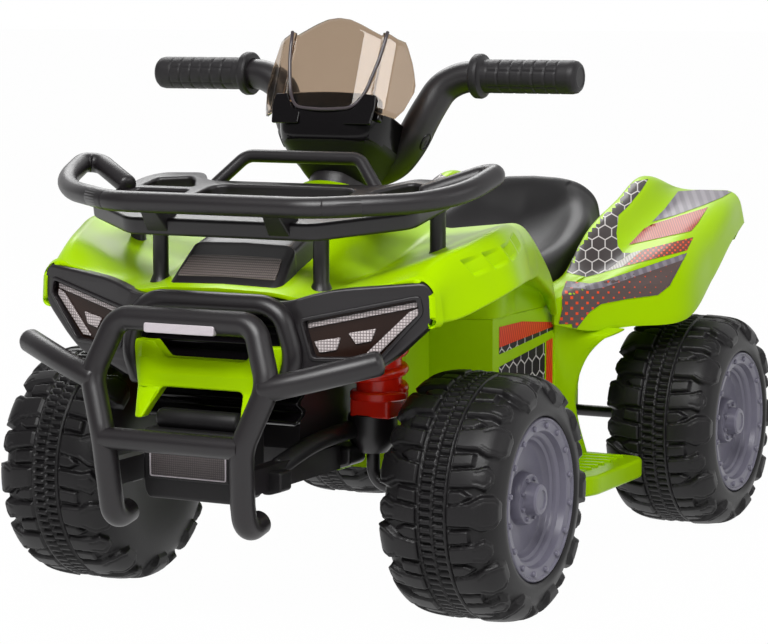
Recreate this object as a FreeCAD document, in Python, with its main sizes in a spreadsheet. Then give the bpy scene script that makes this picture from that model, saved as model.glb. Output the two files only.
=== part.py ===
import FreeCAD, Part
import math
import os
import Sketcher
from types import SimpleNamespace

Vector = FreeCAD.Vector
Placement = FreeCAD.Placement
Rotation = FreeCAD.Rotation

doc = FreeCAD.newDocument("KidsQuadBike")
sheet = doc.addObject("Spreadsheet::Sheet", "Sizes")

# Driving sizes, in millimetres, degrees and counts
DRIVING = (
    ("wheelbase", 426, "front axle to rear axle"),
    ("track", 329, "between the wheel centre planes"),
    ("front_overhang", 180, "front axle to the face of the bull bar"),
    ("rear_overhang", 106, "rear axle to the tail"),
    ("arch_rise", 92, "axle to the line level with the tyre tops"),
    ("tyre_radius", 92, "over the lugs"),
    ("tyre_width", 95, "over the side walls"),
    ("lug_height", 5, "tread lugs above the carcass"),
    ("lug_count", 20, "lugs around each side of a tyre"),
    ("lug_length", 17, "lug along the tread"),
    ("tread_band", 22, "width of the raised middle band"),
    ("tyre_wall", 4, "blow moulded wall of a tyre"),
    ("rim_radius", 61, "rim opening in the side wall"),
    ("rim_flange", 11, "width of the rim's bolted flange"),
    ("rim_depth", 22, "face of the rim behind its flange"),
    ("rim_wall", 3.5, "moulded wall of a rim"),
    ("rim_window_count", 7, "windows in a rim"),
    ("rim_window_radius", 7.5, "radius of a rim window"),
    ("rim_bolt_count", 16, "moulded bolts on a rim flange"),
    ("hub_radius", 19, "raised hub of a rim"),
    ("axle_radius", 5, "steel axle rod"),
    ("running_gap", 0.08, "radial play of a turning fit"),
    ("face_gap", 0.3, "play between faces that pass"),
    ("steer_arm", 25, "kingpin to tie rod pin"),
    ("steer_limit", 25, "steering lock each way"),
    ("kingpin_track", 144, "between the kingpins"),
    ("kingpin_bend", 14, "bend of a stub axle"),
    ("boss_radius", 17, "kingpin boss"),
    ("boss_height", 32, "kingpin boss"),
    ("boss_lift", 31, "underside of the boss above the axle"),
    ("arm_plate", 4, "steering arm and tie rod plate"),
    ("arm_width", 14, "steering arm and tie rod plate"),
    ("pin_radius", 3, "tie rod pins and crank pin"),
    ("rake", 22.5, "steering column lean"),
    ("column_radius", 7, "steering column"),
    ("column_foot", 33, "column origin above the axle"),
    ("column_length", 215, "column origin to its top"),
    ("bar_radius", 12, "handlebar tube"),
    ("bar_setback", 5, "handlebar behind the column axis"),
    ("bar_rise", 296, "grip line along the column axis"),
    ("bar_half", 187, "half width over the grips"),
    ("grip_length", 87, "grip with its collar"),
    ("grip_radius", 12.8, "grip"),
    ("grip_collar", 16, "collar radius of a grip"),
    ("shell_wall", 3.5, "moulded body panels"),
    ("tub_half", 50, "half width between the wheels"),
    ("leg_half", 105, "half width at the leg panels"),
    ("tub_floor", 92, "floor of the tub below the arch line"),
    ("tub_top", 21, "rim of the tub above the arch line"),
    ("board_thick", 12, "footboard"),
    ("board_drop", 124, "underside of the footboard below the arch line"),
    ("board_length", 125, "footboard along the body"),
    ("board_reach", 57, "footboard beyond the leg panel"),
    ("hoop_radius", 9, "bull bar hoop tube"),
    ("crossbar_radius", 8, "bull bar crossbar"),
    ("wing_radius", 7, "bull bar wing"),
    ("rack_tilt", 10.5, "rise of the rack towards the rider"),
    ("rack_plate", 7, "rack tray"),
    ("rail_radius", 6.25, "rack rail and side loops"),
    ("rack_hoop_radius", 5, "rear hoop of the rack"),
    ("post_radius", 5, "rack post"),
    ("spring_radius", 15, "middle of the shock coil"),
    ("spring_wire", 3, "wire radius of the shock coil"),
    ("spring_turns", 4, "turns of the shock coil"),
    ("spring_height", 45, "shock between its seats"),
    ("drive_teeth", 40, "gear on the driven wheel"),
    ("idler_small_teeth", 12, "idler pinion on the drive gear"),
    ("idler_large_teeth", 36, "idler wheel on the motor pinion"),
    ("pinion_teeth", 10, "motor pinion"),
    ("drive_module", 1.25, "tooth size at the driven wheel"),
    ("motor_module", 1, "tooth size at the motor"),
    ("gear_width", 9, "face width of a gear"),
    ("mesh_gap", 0.2, "extra centre distance of a gear pair"),
    ("case_wall", 3, "gearbox case"),
    ("motor_radius", 14, "drive motor"),
    ("motor_length", 38, "drive motor"),
    ("battery_length", 98, "six volt block"),
    ("battery_width", 46, "six volt block"),
    ("battery_height", 52, "six volt block"),
    ("button_radius", 7, "horn and music buttons"),
    ("button_travel", 2.5, "press of a button"),
    ("pedal_length", 56, "accelerator pedal"),
    ("pedal_width", 34, "accelerator pedal"),
    ("pedal_thick", 6, "accelerator pedal"),
    ("pedal_press", 6, "degrees that the pedal tips"),
    ("rocker_length", 22, "direction switch"),
    ("rocker_width", 13, "direction switch"),
    ("socket_bore", 4, "bore radius of the charge socket"),
)

for row, (name, value, meaning) in enumerate(DRIVING, 1):
    sheet.set(f"A{row}", name)
    sheet.set(f"B{row}", str(value))
    sheet.set(f"C{row}", meaning)
    sheet.setAlias(f"B{row}", name)
doc.recompute()

s = SimpleNamespace(**{name: float(sheet.get(name)) for name, value, meaning in DRIVING})

# Places that several pieces share, as numbers and as expressions on the sheet
FRONT_Y = "((Sizes.front_overhang - Sizes.rear_overhang - Sizes.wheelbase) / 2)"
REAR_Y = f"({FRONT_Y} + Sizes.wheelbase)"
ARCH_Z = "(Sizes.tyre_radius + Sizes.arch_rise)"
front_y = float(sheet.evalExpression(FRONT_Y))
rear_y = float(sheet.evalExpression(REAR_Y))
arch_z = float(sheet.evalExpression(ARCH_Z))
axle_z = s.tyre_radius
kingpin_x = s.kingpin_track / 2
foot_y = front_y + s.steer_arm * (1 - math.cos(math.radians(s.rake)))
foot_z = axle_z + s.column_foot
rear_axle_place = Placement(Vector(0, rear_y, axle_z), Rotation())
nodes = []


def keep(made, label):
    made.Label = label
    nodes.append(made)
    return made


def feature(label, shape, place=None):
    made = doc.addObject("Part::Feature", label)
    made.Shape = shape
    if place is not None:
        made.Placement = place
    return keep(made, label)


def solid(kind, label, sizes, base, axis=None):
    made = doc.addObject(kind, label)
    for prop, expression in sizes.items():
        made.setExpression(prop, expression)
    if axis is not None:
        made.Placement = Placement(Vector(), Rotation(Vector(0, 0, 1), Vector(*axis)))
    for letter, expression in zip("xyz", base):
        made.setExpression(f"Placement.Base.{letter}", expression)
    return made


def sketch_on(body, name, role, lift=None, lean=None):
    drawn = body.newObject("Sketcher::SketchObject", name)
    plane = [part for part in body.Origin.OriginFeatures if part.Role == role][0]
    drawn.AttachmentSupport = [(plane, "")]
    drawn.MapMode = "FlatFace"
    if lean is not None:
        drawn.AttachmentOffset = Placement(Vector(), Rotation(Vector(1, 0, 0), number(lean)))
        drawn.setExpression("AttachmentOffset.Base.y", f"-({lift}) * sin({lean} * 1 deg)")
        drawn.setExpression("AttachmentOffset.Base.z", f"({lift}) * cos({lean} * 1 deg)")
    elif lift is not None:
        drawn.setExpression("AttachmentOffset.Base.z", lift)
    return drawn


def number(expression):
    return float(sheet.evalExpression(str(expression)))


def outline(drawn, corners):
    values = [Vector(number(across), number(up), 0) for across, up in corners]
    first = drawn.GeometryCount
    count = len(corners)
    for index in range(count):
        drawn.addGeometry(Part.LineSegment(values[index], values[(index + 1) % count]), False)
    for index in range(count):
        after = first + (index + 1) % count
        drawn.addConstraint(Sketcher.Constraint("Coincident", first + index, 2, after, 1))
    for index, corner in enumerate(corners):
        for kind, expression in zip(("DistanceX", "DistanceY"), corner):
            held = Sketcher.Constraint(kind, -1, 1, first + index, 1, number(expression))
            place = drawn.addConstraint(held)
            drawn.setExpression(f"Constraints[{place}]", str(expression))


def ring(drawn, across, up, radius):
    centre = Vector(number(across), number(up), 0)
    index = drawn.addGeometry(Part.Circle(centre, Vector(0, 0, 1), number(radius)), False)
    for kind, expression in (("DistanceX", across), ("DistanceY", up)):
        place = drawn.addConstraint(Sketcher.Constraint(kind, -1, 1, index, 3, number(expression)))
        drawn.setExpression(f"Constraints[{place}]", str(expression))
    place = drawn.addConstraint(Sketcher.Constraint("Radius", index, number(radius)))
    drawn.setExpression(f"Constraints[{place}]", str(radius))


def new_body(label, base, turn=None):
    body = doc.addObject("PartDesign::Body", label)
    if turn is not None:
        body.Placement = Placement(Vector(), turn)
    for letter, expression in zip("xyz", base):
        body.setExpression(f"Placement.Base.{letter}", str(expression))
    return keep(body, label)


def pad(body, name, drawn, length, both=False, back=False):
    made = body.newObject("PartDesign::Pad", name)
    made.Profile = drawn
    made.setExpression("Length", str(length))
    made.Midplane = both
    made.Reversed = back
    return made


def pocket(body, name, drawn, length, both=True, back=False):
    made = body.newObject("PartDesign::Pocket", name)
    made.Profile = drawn
    made.setExpression("Length", str(length))
    made.Midplane = both
    made.Reversed = back
    return made


def turned(body, name, drawn, axis):
    made = body.newObject("PartDesign::Revolution", name)
    made.Profile = drawn
    made.ReferenceAxis = (drawn, [axis])
    made.Angle = 360
    return made


def polar(body, name, originals, role, count):
    made = body.newObject("PartDesign::PolarPattern", name)
    axis = [part for part in body.Origin.OriginFeatures if part.Role == role][0]
    made.Originals = originals
    made.Axis = (axis, [""])
    made.Angle = 360
    made.setExpression("Occurrences", count)
    body.Tip = made
    return made


def mirrored(points):
    return [Vector(-point.x, point.y, point.z) for point in points]


def bent_path(corners, bends):
    edges = []
    start = corners[0]
    for before, corner, after, bend in zip(corners, corners[1:], corners[2:], bends):
        into = (corner - before).normalize()
        out = (after - corner).normalize()
        turn = into.getAngle(out)
        reach = bend * math.tan(turn / 2)
        arc_start = corner - into * reach
        arc_end = corner + out * reach
        inward = (out - into).normalize()
        middle = corner + inward * (bend / math.cos(turn / 2) - bend)
        edges.append(Part.LineSegment(start, arc_start).toShape())
        edges.append(Part.Arc(arc_start, middle, arc_end).toShape())
        start = arc_end
    edges.append(Part.LineSegment(start, corners[-1]).toShape())
    return Part.Wire(edges)


def tube(corners, bends, radius, round_ends=False):
    path = bent_path(corners, bends)
    heading = corners[1] - corners[0]
    section = Part.Wire(Part.makeCircle(radius, corners[0], heading))
    shape = path.makePipeShell([section], True, False)
    if round_ends:
        for end in (corners[0], corners[-1]):
            shape = shape.fuse(Part.makeSphere(radius, end))
        shape = shape.removeSplitter()
    return shape


def offset_line(points, wall):
    moved = []
    last = len(points) - 1
    for index, point in enumerate(points):
        normals = []
        if index > 0:
            along = (point - points[index - 1]).normalize()
            normals.append(Vector(along.z, 0, -along.x))
        if index < last:
            along = (points[index + 1] - point).normalize()
            normals.append(Vector(along.z, 0, -along.x))
        middle = normals[0] if len(normals) == 1 else (normals[0] + normals[1]).normalize()
        stretch = wall / max(middle.dot(normals[0]), 0.5)
        moved.append(point + middle * stretch)
    return moved


def shell_section(station, half, wall):
    right = [Vector(across, station, up) for across, up in half]
    line = mirrored(right[:0:-1]) + right
    inner = offset_line(line, wall)
    return Part.makePolygon(line + inner[::-1] + [line[0]])


def shell_loft(stations, wall):
    wires = [shell_section(station, half, wall) for station, half in stations]
    return Part.makeLoft(wires, True, True)


def solid_loft(stations, depth):
    wires = []
    for station, half in stations:
        right = [Vector(across, station, up) for across, up in half]
        line = mirrored(right[:0:-1]) + right
        low = [Vector(line[-1].x, station, -depth), Vector(line[0].x, station, -depth)]
        wires.append(Part.makePolygon(line + low + [line[0]]))
    return Part.makeLoft(wires, True, True)


def prism(points, direction):
    return Part.Face(Part.makePolygon(points + [points[0]])).extrude(direction)


def block(low, high):
    low = Vector(*low)
    high = Vector(*high)
    reach = high - low
    return Part.makeBox(reach.x, reach.y, reach.z, low)


def rod(radius, start, end):
    start = Vector(*start)
    way = Vector(*end) - start
    return Part.makeCylinder(radius, way.Length, start, way)


def plan_prism(half, low, high):
    right = [Vector(across, along, low) for across, along in half]
    left = mirrored(right)[::-1]
    line = right + [point for point in left if abs(point.x) > 0.001]
    return prism(line, Vector(0, 0, high - low))


def front_prism(half, front, back):
    right = [Vector(across, front, up) for across, up in half]
    return prism(right, Vector(0, back - front, 0))


# Body panels share one frame: front axle along the body, arch line in height
body_place = Placement(Vector(0, front_y, arch_z), Rotation())
column_turn = Rotation(Vector(1, 0, 0), -s.rake)
column_place = Placement(Vector(0, foot_y, foot_z), column_turn)
column_in_body = Placement(Vector(0, foot_y - front_y, foot_z - arch_z), column_turn)


def on_column(shape):
    return shape.transformed(column_in_body.toMatrix(), True)


def bind_body_place(made):
    made.Placement = body_place
    made.setExpression("Placement.Base.y", FRONT_Y)
    made.setExpression("Placement.Base.z", ARCH_Z)
    return made


def body_piece(label, shape):
    return bind_body_place(feature(label, shape))


# Tyres: a hollow carcass with a raised middle band and lugs on both shoulders
def tyre(label, side, axle):
    body = new_body(label, (f"{side} * Sizes.track / 2", axle, "Sizes.tyre_radius"))
    half = f"{side} * Sizes.tyre_width / 2"
    wall = f"{side} * Sizes.tyre_wall"
    crown = "(Sizes.tyre_radius - Sizes.lug_height)"
    bore = "Sizes.axle_radius + Sizes.running_gap"
    band = f"{side} * Sizes.tread_band / 2"
    hub = "Sizes.axle_radius + 9"
    profile = sketch_on(body, label + "_profile", "XZ_Plane")
    outline(profile, (
        (f"-{half} + {wall}", bore),
        (f"-{half} + {wall}", "Sizes.rim_radius / 2"),
        (f"-({half})", "Sizes.rim_radius - 18"),
        (f"-({half})", f"{crown} - 17"),
        (f"-({half}) * 0.76", f"{crown} - 2"),
        (f"-({band})", crown),
        (f"-({band})", f"{crown} + Sizes.lug_height * 0.7"),
        (band, f"{crown} + Sizes.lug_height * 0.7"),
        (band, crown),
        (f"{half} * 0.76", f"{crown} - 2"),
        (half, f"{crown} - 17"),
        (f"{half} - {wall} * 0.4", "Sizes.rim_radius"),
        (f"{half} - {wall} * 2", "Sizes.rim_radius"),
        (f"{half} - {wall} * 2", "Sizes.rim_radius - 5"),
        (f"{half} - {wall} * 3", "Sizes.rim_radius - 5"),
        (f"{half} - {wall} * 3", "Sizes.rim_radius + Sizes.tyre_wall"),
        (f"{half} - {wall}", f"{crown} - 19"),
        (f"{half} * 0.72", f"{crown} - 2 - Sizes.tyre_wall"),
        (f"-({half}) * 0.72", f"{crown} - 2 - Sizes.tyre_wall"),
        (f"-{half} + {wall}", f"{crown} - 19"),
        (f"-{half} + {wall}", "Sizes.rim_radius - 16"),
        (f"-{half} + {wall} * 2", "Sizes.rim_radius / 2"),
        (f"-{half} + {wall} * 2", hub),
        (f"-{half} + {wall} * 5", hub),
        (f"-{half} + {wall} * 5", bore),
    ))
    turned(body, label + "_carcass", profile, "H_Axis")
    lift = f"{crown} - 14"
    height = "Sizes.lug_height + 15"
    long_half = "Sizes.lug_length / 2"
    half_pitch = "180 / Sizes.lug_count"
    for name, sign, slant, lean in (("outer", 1, 3, None), ("inner", -1, -3, half_pitch)):
        drawn = sketch_on(body, f"{label}_{name}_lug_outline", "XY_Plane", lift, lean)
        near = f"{sign} * {side} * (Sizes.tread_band / 2 + 3)"
        far = f"{sign} * {side} * (Sizes.tyre_width / 2 - 1)"
        outline(drawn, (
            (near, f"-{long_half} * 0.6 - {slant}"),
            (far, f"-({long_half})"),
            (far, long_half),
            (near, f"{long_half} * 0.6 - {slant}"),
        ))
        lug = pad(body, f"{label}_{name}_lug", drawn, height)
        polar(body, f"{label}_{name}_lugs", [lug], "X_Axis", "Sizes.lug_count")
    for name, sign in (("outer", 1), ("inner", -1)):
        drawn = sketch_on(body, f"{label}_{name}_shoulder_outline", "XZ_Plane")
        edge = f"{sign} * {side} * Sizes.tyre_width / 2"
        outline(drawn, (
            (f"{edge} * 0.5", "Sizes.tyre_radius"),
            (f"{edge} * 0.26", "Sizes.tyre_radius"),
            (f"{edge} * 0.26", "Sizes.tyre_radius + 9"),
            (f"{edge} * 1.1", "Sizes.tyre_radius + 9"),
            (f"{edge} * 1.1", f"{crown} - 12"),
            (f"{edge} * 0.88", f"{crown} - 3"),
        ))
        made = body.newObject("PartDesign::Groove", f"{label}_{name}_shoulder")
        made.Profile = drawn
        made.ReferenceAxis = (drawn, ["H_Axis"])
        made.Angle = 360
    return body


# Rims: a bolted flange, a sunk face with round windows, and a hub with its cap
def rim(label, side, axle):
    body = new_body(label, (f"{side} * Sizes.track / 2", axle, "Sizes.tyre_radius"))
    seat = f"{side} * (Sizes.tyre_width / 2 - Sizes.tyre_wall * 2)"
    wall = f"{side} * Sizes.rim_wall"
    face = f"({seat} + {wall} - {side} * Sizes.rim_depth)"
    inside = "Sizes.rim_radius - Sizes.rim_flange"
    bore = "Sizes.axle_radius + Sizes.running_gap"
    hollow = "Sizes.hub_radius / 2 + 1"
    cap = "Sizes.hub_radius / 2 + Sizes.rim_wall"
    profile = sketch_on(body, label + "_profile", "XZ_Plane")
    outline(profile, (
        (f"{face} - {wall} * 2", bore),
        (f"{face} - {wall} * 2", "Sizes.hub_radius"),
        (f"{face} - {wall}", "Sizes.hub_radius"),
        (f"{face} - {wall}", inside),
        (seat, f"{inside} + Sizes.rim_wall"),
        (seat, "Sizes.rim_radius - Sizes.face_gap"),
        (f"{seat} + {wall} * 1.6", "Sizes.rim_radius - Sizes.face_gap"),
        (f"{seat} + {wall} * 2", "Sizes.rim_radius - 3"),
        (f"{seat} + {wall} * 2", f"{inside} + 1"),
        (f"{seat} + {wall}", f"{inside} - 2"),
        (face, f"{inside} - 4"),
        (face, "Sizes.hub_radius"),
        (f"{face} + {wall} * 2.6", "Sizes.hub_radius - 1"),
        (f"{face} + {wall} * 2.6", cap),
        (f"{face} + {wall} * 5.4", f"{cap} - 1"),
        (f"{face} + {wall} * 5.4", "0"),
        (f"{face} + {wall} * 4.4", "0"),
        (f"{face} + {wall} * 4.4", hollow),
        (face, hollow),
        (face, bore),
    ))
    turned(body, label + "_dish", profile, "H_Axis")
    windows = sketch_on(body, label + "_window_outline", "YZ_Plane", face)
    window_ring = "(Sizes.hub_radius + Sizes.rim_radius - Sizes.rim_flange - 2) / 2"
    ring(windows, "0", window_ring, "Sizes.rim_window_radius")
    hole = pocket(body, label + "_window", windows, "Sizes.rim_wall * 4")
    polar(body, label + "_windows", [hole], "X_Axis", "Sizes.rim_window_count")
    bolt = sketch_on(body, label + "_bolt_outline", "YZ_Plane", f"{seat} + {wall} * 2")
    ring(bolt, "0", "Sizes.rim_radius - Sizes.rim_flange / 2 - 1", "Sizes.rim_flange / 5")
    head = pad(body, label + "_bolt", bolt, "3", both=True)
    polar(body, label + "_bolts", [head], "X_Axis", "Sizes.rim_bolt_count")
    return body


WHEELS = (
    ("front_left", 1, FRONT_Y),
    ("front_right", -1, FRONT_Y),
    ("rear_left", 1, REAR_Y),
    ("rear_right", -1, REAR_Y),
)
for place, side, axle in WHEELS:
    tyre("tyre_" + place, side, axle)
    rim("rim_" + place, side, axle)

axle_end = s.track / 2 + s.tyre_width / 2 - s.tyre_wall * 2 - s.rim_depth + s.rim_wall * 4
nut_thick = s.rim_wall * 2


# Stub axles: one bent rod with its riveted end and a welded steering arm
def stub_axle(label, side):
    boss_low = s.boss_lift
    corners = [
        Vector(0, 0, boss_low + s.boss_height - 1),
        Vector(0, 0, 0),
        Vector(side * (axle_end - kingpin_x), 0, 0),
    ]
    shape = tube(corners, [s.kingpin_bend], s.axle_radius)
    head_start = side * (axle_end - kingpin_x - nut_thick + s.face_gap)
    shape = shape.fuse(rod(s.axle_radius + 2.5, (head_start, 0, 0), (corners[2].x, 0, 0)))
    arm_top = boss_low - s.face_gap
    arm = block((-s.arm_width / 2, 0, arm_top - s.arm_plate), (s.arm_width / 2, s.steer_arm, arm_top))
    for along in (0, s.steer_arm):
        arm = arm.fuse(rod(s.arm_width / 2, (0, along, arm_top - s.arm_plate), (0, along, arm_top)))
    hole = s.pin_radius + s.running_gap
    arm = arm.cut(rod(hole, (0, s.steer_arm, 0), (0, s.steer_arm, boss_low)))
    return feature(label, shape.fuse(arm), Placement(Vector(side * kingpin_x, front_y, axle_z), Rotation()))


stub_axle("stub_axle_left", 1)
stub_axle("stub_axle_right", -1)


# Tie rod: a plate under the arms with two pins and a slot for the crank pin
def tie_rod():
    body = new_body("tie_rod", ("0", f"{FRONT_Y} + Sizes.steer_arm", "Sizes.tyre_radius"))
    lift = "Sizes.boss_lift - Sizes.face_gap * 2 - Sizes.arm_plate"
    plate = sketch_on(body, "tie_plate_outline", "XY_Plane", lift)
    across = "(Sizes.kingpin_track / 2 + Sizes.arm_width / 2)"
    half = "Sizes.arm_width / 2"
    outline(plate, ((f"-{across}", f"-{half}"), (across, f"-{half}"), (across, half), (f"-{across}", half)))
    pad(body, "tie_plate", plate, "Sizes.arm_plate", back=True)
    pins = sketch_on(body, "tie_pin_outline", "XY_Plane", lift)
    for side in ("-", ""):
        ring(pins, f"{side}Sizes.kingpin_track / 2", "0", "Sizes.pin_radius")
    pad(body, "tie_pins", pins, "Sizes.arm_plate + Sizes.face_gap")
    slot = sketch_on(body, "crank_slot_outline", "XY_Plane", lift)
    wide = "(Sizes.pin_radius + Sizes.running_gap)"
    outline(slot, ((f"-{wide}", "-5.5"), (wide, "-5.5"), (wide, "5.5"), (f"-{wide}", "5.5")))
    pocket(body, "crank_slot", slot, "Sizes.arm_plate * 4")
    return body


tie_rod()


# Axle carrier: a cross beam with the two kingpin bosses
def axle_carrier():
    low = s.boss_lift
    beam_low = low - 18
    beam_top = arch_z - 56 - axle_z
    shape = block((-kingpin_x, -30, beam_low), (kingpin_x, -12, beam_top))
    for side in (-1, 1):
        post_x = side * kingpin_x
        shape = shape.fuse(rod(s.boss_radius, (post_x, 0, low), (post_x, 0, low + s.boss_height)))
        near, far = sorted((side * (s.tub_half + 1), side * (kingpin_x + s.boss_radius)))
        shape = shape.fuse(block((near, -30, beam_low), (far, -8, low + s.boss_height - 5)))
    for side in (-1, 1):
        bore = s.axle_radius + s.running_gap
        shape = shape.cut(rod(bore, (side * kingpin_x, 0, 0), (side * kingpin_x, 0, 200)))
    return feature("axle_carrier", shape.removeSplitter(), Placement(Vector(0, front_y, axle_z), Rotation()))


axle_carrier()


# Shock springs: one unbroken coil on a moulded core between two flanges
def shock_spring(label, side):
    flange = 5
    flange_radius = s.spring_radius + s.spring_wire + 2
    core_radius = s.spring_radius - s.spring_wire - s.face_gap
    low = 0
    high = s.spring_height
    shape = rod(core_radius, (0, 0, low), (0, 0, high))
    shape = shape.fuse(rod(flange_radius, (0, 0, low), (0, 0, low + flange)))
    shape = shape.fuse(rod(flange_radius, (0, 0, high - flange), (0, 0, high)))
    start = low + flange + s.spring_wire + s.face_gap
    rise = high - 2 * start
    quarter = 4 * int(s.spring_turns)
    points = []
    for step in range(2 * quarter + 1):
        share = step / (2 * quarter)
        angle = 2 * math.pi * s.spring_turns * share
        across = s.spring_radius * math.cos(angle)
        along = s.spring_radius * math.sin(angle)
        points.append(Vector(across, along, start + rise * share))
    edges = [Part.Arc(*points[index:index + 3]).toShape() for index in range(0, 2 * quarter, 2)]
    path = Part.Wire(edges)
    heading = edges[0].tangentAt(edges[0].FirstParameter)
    section = Part.Wire(Part.makeCircle(s.spring_wire, points[0], heading))
    coil = path.makePipeShell([section], True, False)
    per_turn = 2 * quarter // int(s.spring_turns)
    apart = [
        (later - point).Length
        for index, point in enumerate(points)
        for later in points[index + per_turn // 2:]
    ]
    print(label, "least gap of the coil to itself", round(min(apart) - 2 * s.spring_wire, 2))
    shape = Part.makeCompound([shape, coil])
    base_z = axle_z + s.boss_lift + s.boss_height
    shift = side * (kingpin_x + 5)
    return feature(label, shape, Placement(Vector(shift, front_y, base_z), Rotation()))


shock_spring("shock_spring_left", 1)
shock_spring("shock_spring_right", -1)


# Tub: a hollow floor pan with leg panels, axle saddle, shock ears and column bridge
well = s.tyre_radius + 18
leg_front = well + 31
waist_half = s.tub_half + 14


def body_tub():
    leg_rear = s.wheelbase - s.tyre_radius + 1
    tail = s.wheelbase + 44
    front = -74
    step_front = 66
    step_rear = s.wheelbase - 62
    wall = s.shell_wall

    def plan(inset):
        half = s.tub_half - inset
        return (
            (half, front + inset),
            (half, 26),
            (waist_half - inset, 70),
            (waist_half - inset, well + inset),
            (s.leg_half - inset, leg_front + inset),
            (s.leg_half - inset, leg_rear - inset),
            (half, leg_rear + 26 - inset),
            (half, tail - inset),
        )

    floor = -s.tub_floor
    front_floor = -56
    rear_floor = -34
    wide = 200
    shape = plan_prism(plan(0), floor, s.tub_top)
    shape = shape.cut(block((-wide, -wide, floor - 1), (wide, step_front, front_floor)))
    shape = shape.cut(block((-wide, step_rear, floor - 1), (wide, 2 * s.wheelbase, rear_floor)))
    room = plan_prism(plan(wall), floor + wall, s.tub_top + 1)
    room = room.cut(block((-wide, -wide, floor), (wide, step_front + wall, front_floor + wall)))
    room = room.cut(block((-wide, step_rear - wall, floor), (wide, 2 * s.wheelbase, rear_floor + wall)))
    shape = shape.cut(room)
    for side in (-1, 1):
        near, far = sorted((side * (s.tub_half - wall), side * (kingpin_x + 24)))
        shock_top = s.boss_lift + s.boss_height + s.spring_height - s.arch_rise
        shape = shape.fuse(block((near, -18, shock_top), (far, 18, shock_top + 5)))
    bridge = block((-s.tub_half + 1, 2, -38), (s.tub_half - 1, 34, -26))
    shape = shape.fuse(bridge)
    shape = shape.cut(block((-36, -16, front_floor - 1), (36, 52, front_floor + wall + 1)))
    shape = shape.cut(on_column(rod(s.column_radius + s.running_gap, (0, 0, 0), (0, 0, 90))))
    saddle = block((30, s.wheelbase - 16, -s.arch_rise - 14), (s.tub_half + 5, s.wheelbase + 16, rear_floor))
    shape = shape.fuse(saddle)
    bore = rod(s.axle_radius, (0, s.wheelbase, -s.arch_rise), (100, s.wheelbase, -s.arch_rise))
    shape = shape.cut(bore)
    return body_piece("body_tub", shape.removeSplitter())


# Fairing stations: place behind the front axle, then the half outline from the middle to the lip
fairing_end = s.wheelbase - 181


def fairing_stations():
    rear = fairing_end
    tub = s.tub_half
    leg = s.leg_half
    hood = (
        (-118, tub + 28, ((0, 58), (48, 57), (66, 54), (150, 72), (160, 66), (160, 42))),
        (-60, tub, ((0, 78), (48, 76), (70, 66), (158, 88), (170, 77), (169, 43))),
        (-28, tub, ((0, 88.5), (48, 85), (72, 72), (168, 98), (180, 86), (178, 53))),
        (0, tub, ((0, 99), (48, 94), (75, 78), (173, 105), (187, 93), (184, 61))),
        (40, tub + (waist_half - tub) * 4 / 7, ((0, 106.4), (47, 101.4), (74.4, 85.4), (166, 106), (178, 93), (176, 62))),
        (70, waist_half, ((0, 112), (46, 107), (74, 91), (157, 102), (169, 88), (167, 61))),
        (well, waist_half, ((0, 112), (46, 107), (72, 93), (139, 100), (152, 82), (152, 58))),
        (leg_front, leg, ((0, 100), (46, 97), (72, 89), (128, 96), (140, 78), (142, 55))),
        (rear * 0.78, leg, ((0, 78), (50, 74), (74, 68), (118, 79), (128, 62), (133, 40))),
        (rear, leg, ((0, 52), (60, 50), (80, 48), (106, 50), (113, 42), (117, 26))),
    )
    rows = []
    for station, foot, half in hood:
        lip_x, lip_z = half[-1]
        foot_x = foot - s.shell_wall * 0.2
        skirt = ((lip_x - 7, lip_z), (foot_x, lip_z + 7), (foot_x, s.tub_top + s.face_gap))
        rows.append((station, half + skirt))
    return rows


MASK_SWEEP = 0.3
MASK_BEND = 70
MASK_FRONT = -114
mask_back = MASK_FRONT + 12


def mask_slab(front, back):
    far = 180
    drop = (far - MASK_BEND) * MASK_SWEEP
    face = ((0, front), (MASK_BEND, front), (far, front + drop))
    half = face + ((far, back + drop), (MASK_BEND, back), (0, back))
    right = [Vector(across, along, -60) for across, along in half]
    left = mirrored(right[1:-1])[::-1]
    return prism(right + left, Vector(0, 0, 200))


def front_fairing():
    shape = shell_loft(fairing_stations(), s.shell_wall)
    collar_top = 196
    collar = on_column(rod(30, (0, 0, 150), (0, 0, collar_top)))
    top = [(station, half[:3]) for station, half in fairing_stations()]
    room = [(station, [(across, up - s.shell_wall) for across, up in half]) for station, half in top]
    shape = shape.fuse(collar.cut(solid_loft(room, 60)))
    shape = shape.cut(on_column(rod(15, (0, 0, 100), (0, 0, 230))))
    shape = shape.cut(mask_slab(MASK_FRONT - 60, mask_back))
    seat_room = block((-89, fairing_end * 0.765, -60), (89, fairing_end + 10, 150))
    shape = shape.cut(seat_room)
    return body_piece("front_fairing", max(shape.Solids, key=lambda part: part.Volume))


tub = body_tub()
fairing = front_fairing()
fairing_local = fairing.Shape.copy()
fairing_local.Placement = Placement()


# Rear fairing: a seat pan between two flared fenders, closed at the tail
def rear_stations():
    rear = s.wheelbase
    tail = s.wheelbase + s.rear_overhang
    pan = s.tub_top + s.shell_wall
    return (
        (rear - 178, ((0, pan), (84, pan), (88, pan + 4), (104, pan + 9), (110, pan + 4), (112, pan + 3),
                      (112, 6))),
        (rear - 106, ((0, pan), (84, pan), (88, 38), (105, 54), (116, 42), (146, 42), (148, 4))),
        (rear - 57, ((0, pan), (84, pan), (88, 52), (105, 72), (118, 57), (178, 59), (180, 2))),
        (rear + 4, ((0, pan + 20), (84, pan + 20), (88, 74), (105, 95), (118, 76), (180, 78), (181, 31))),
        (rear + 57, ((0, 72), (84, 74), (88, 93), (105, 115), (118, 92), (177, 93), (179, 59))),
        (tail, ((0, 92), (84, 96), (88, 100), (105, 103), (116, 101), (168, 102), (174, 73))),
    )


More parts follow.
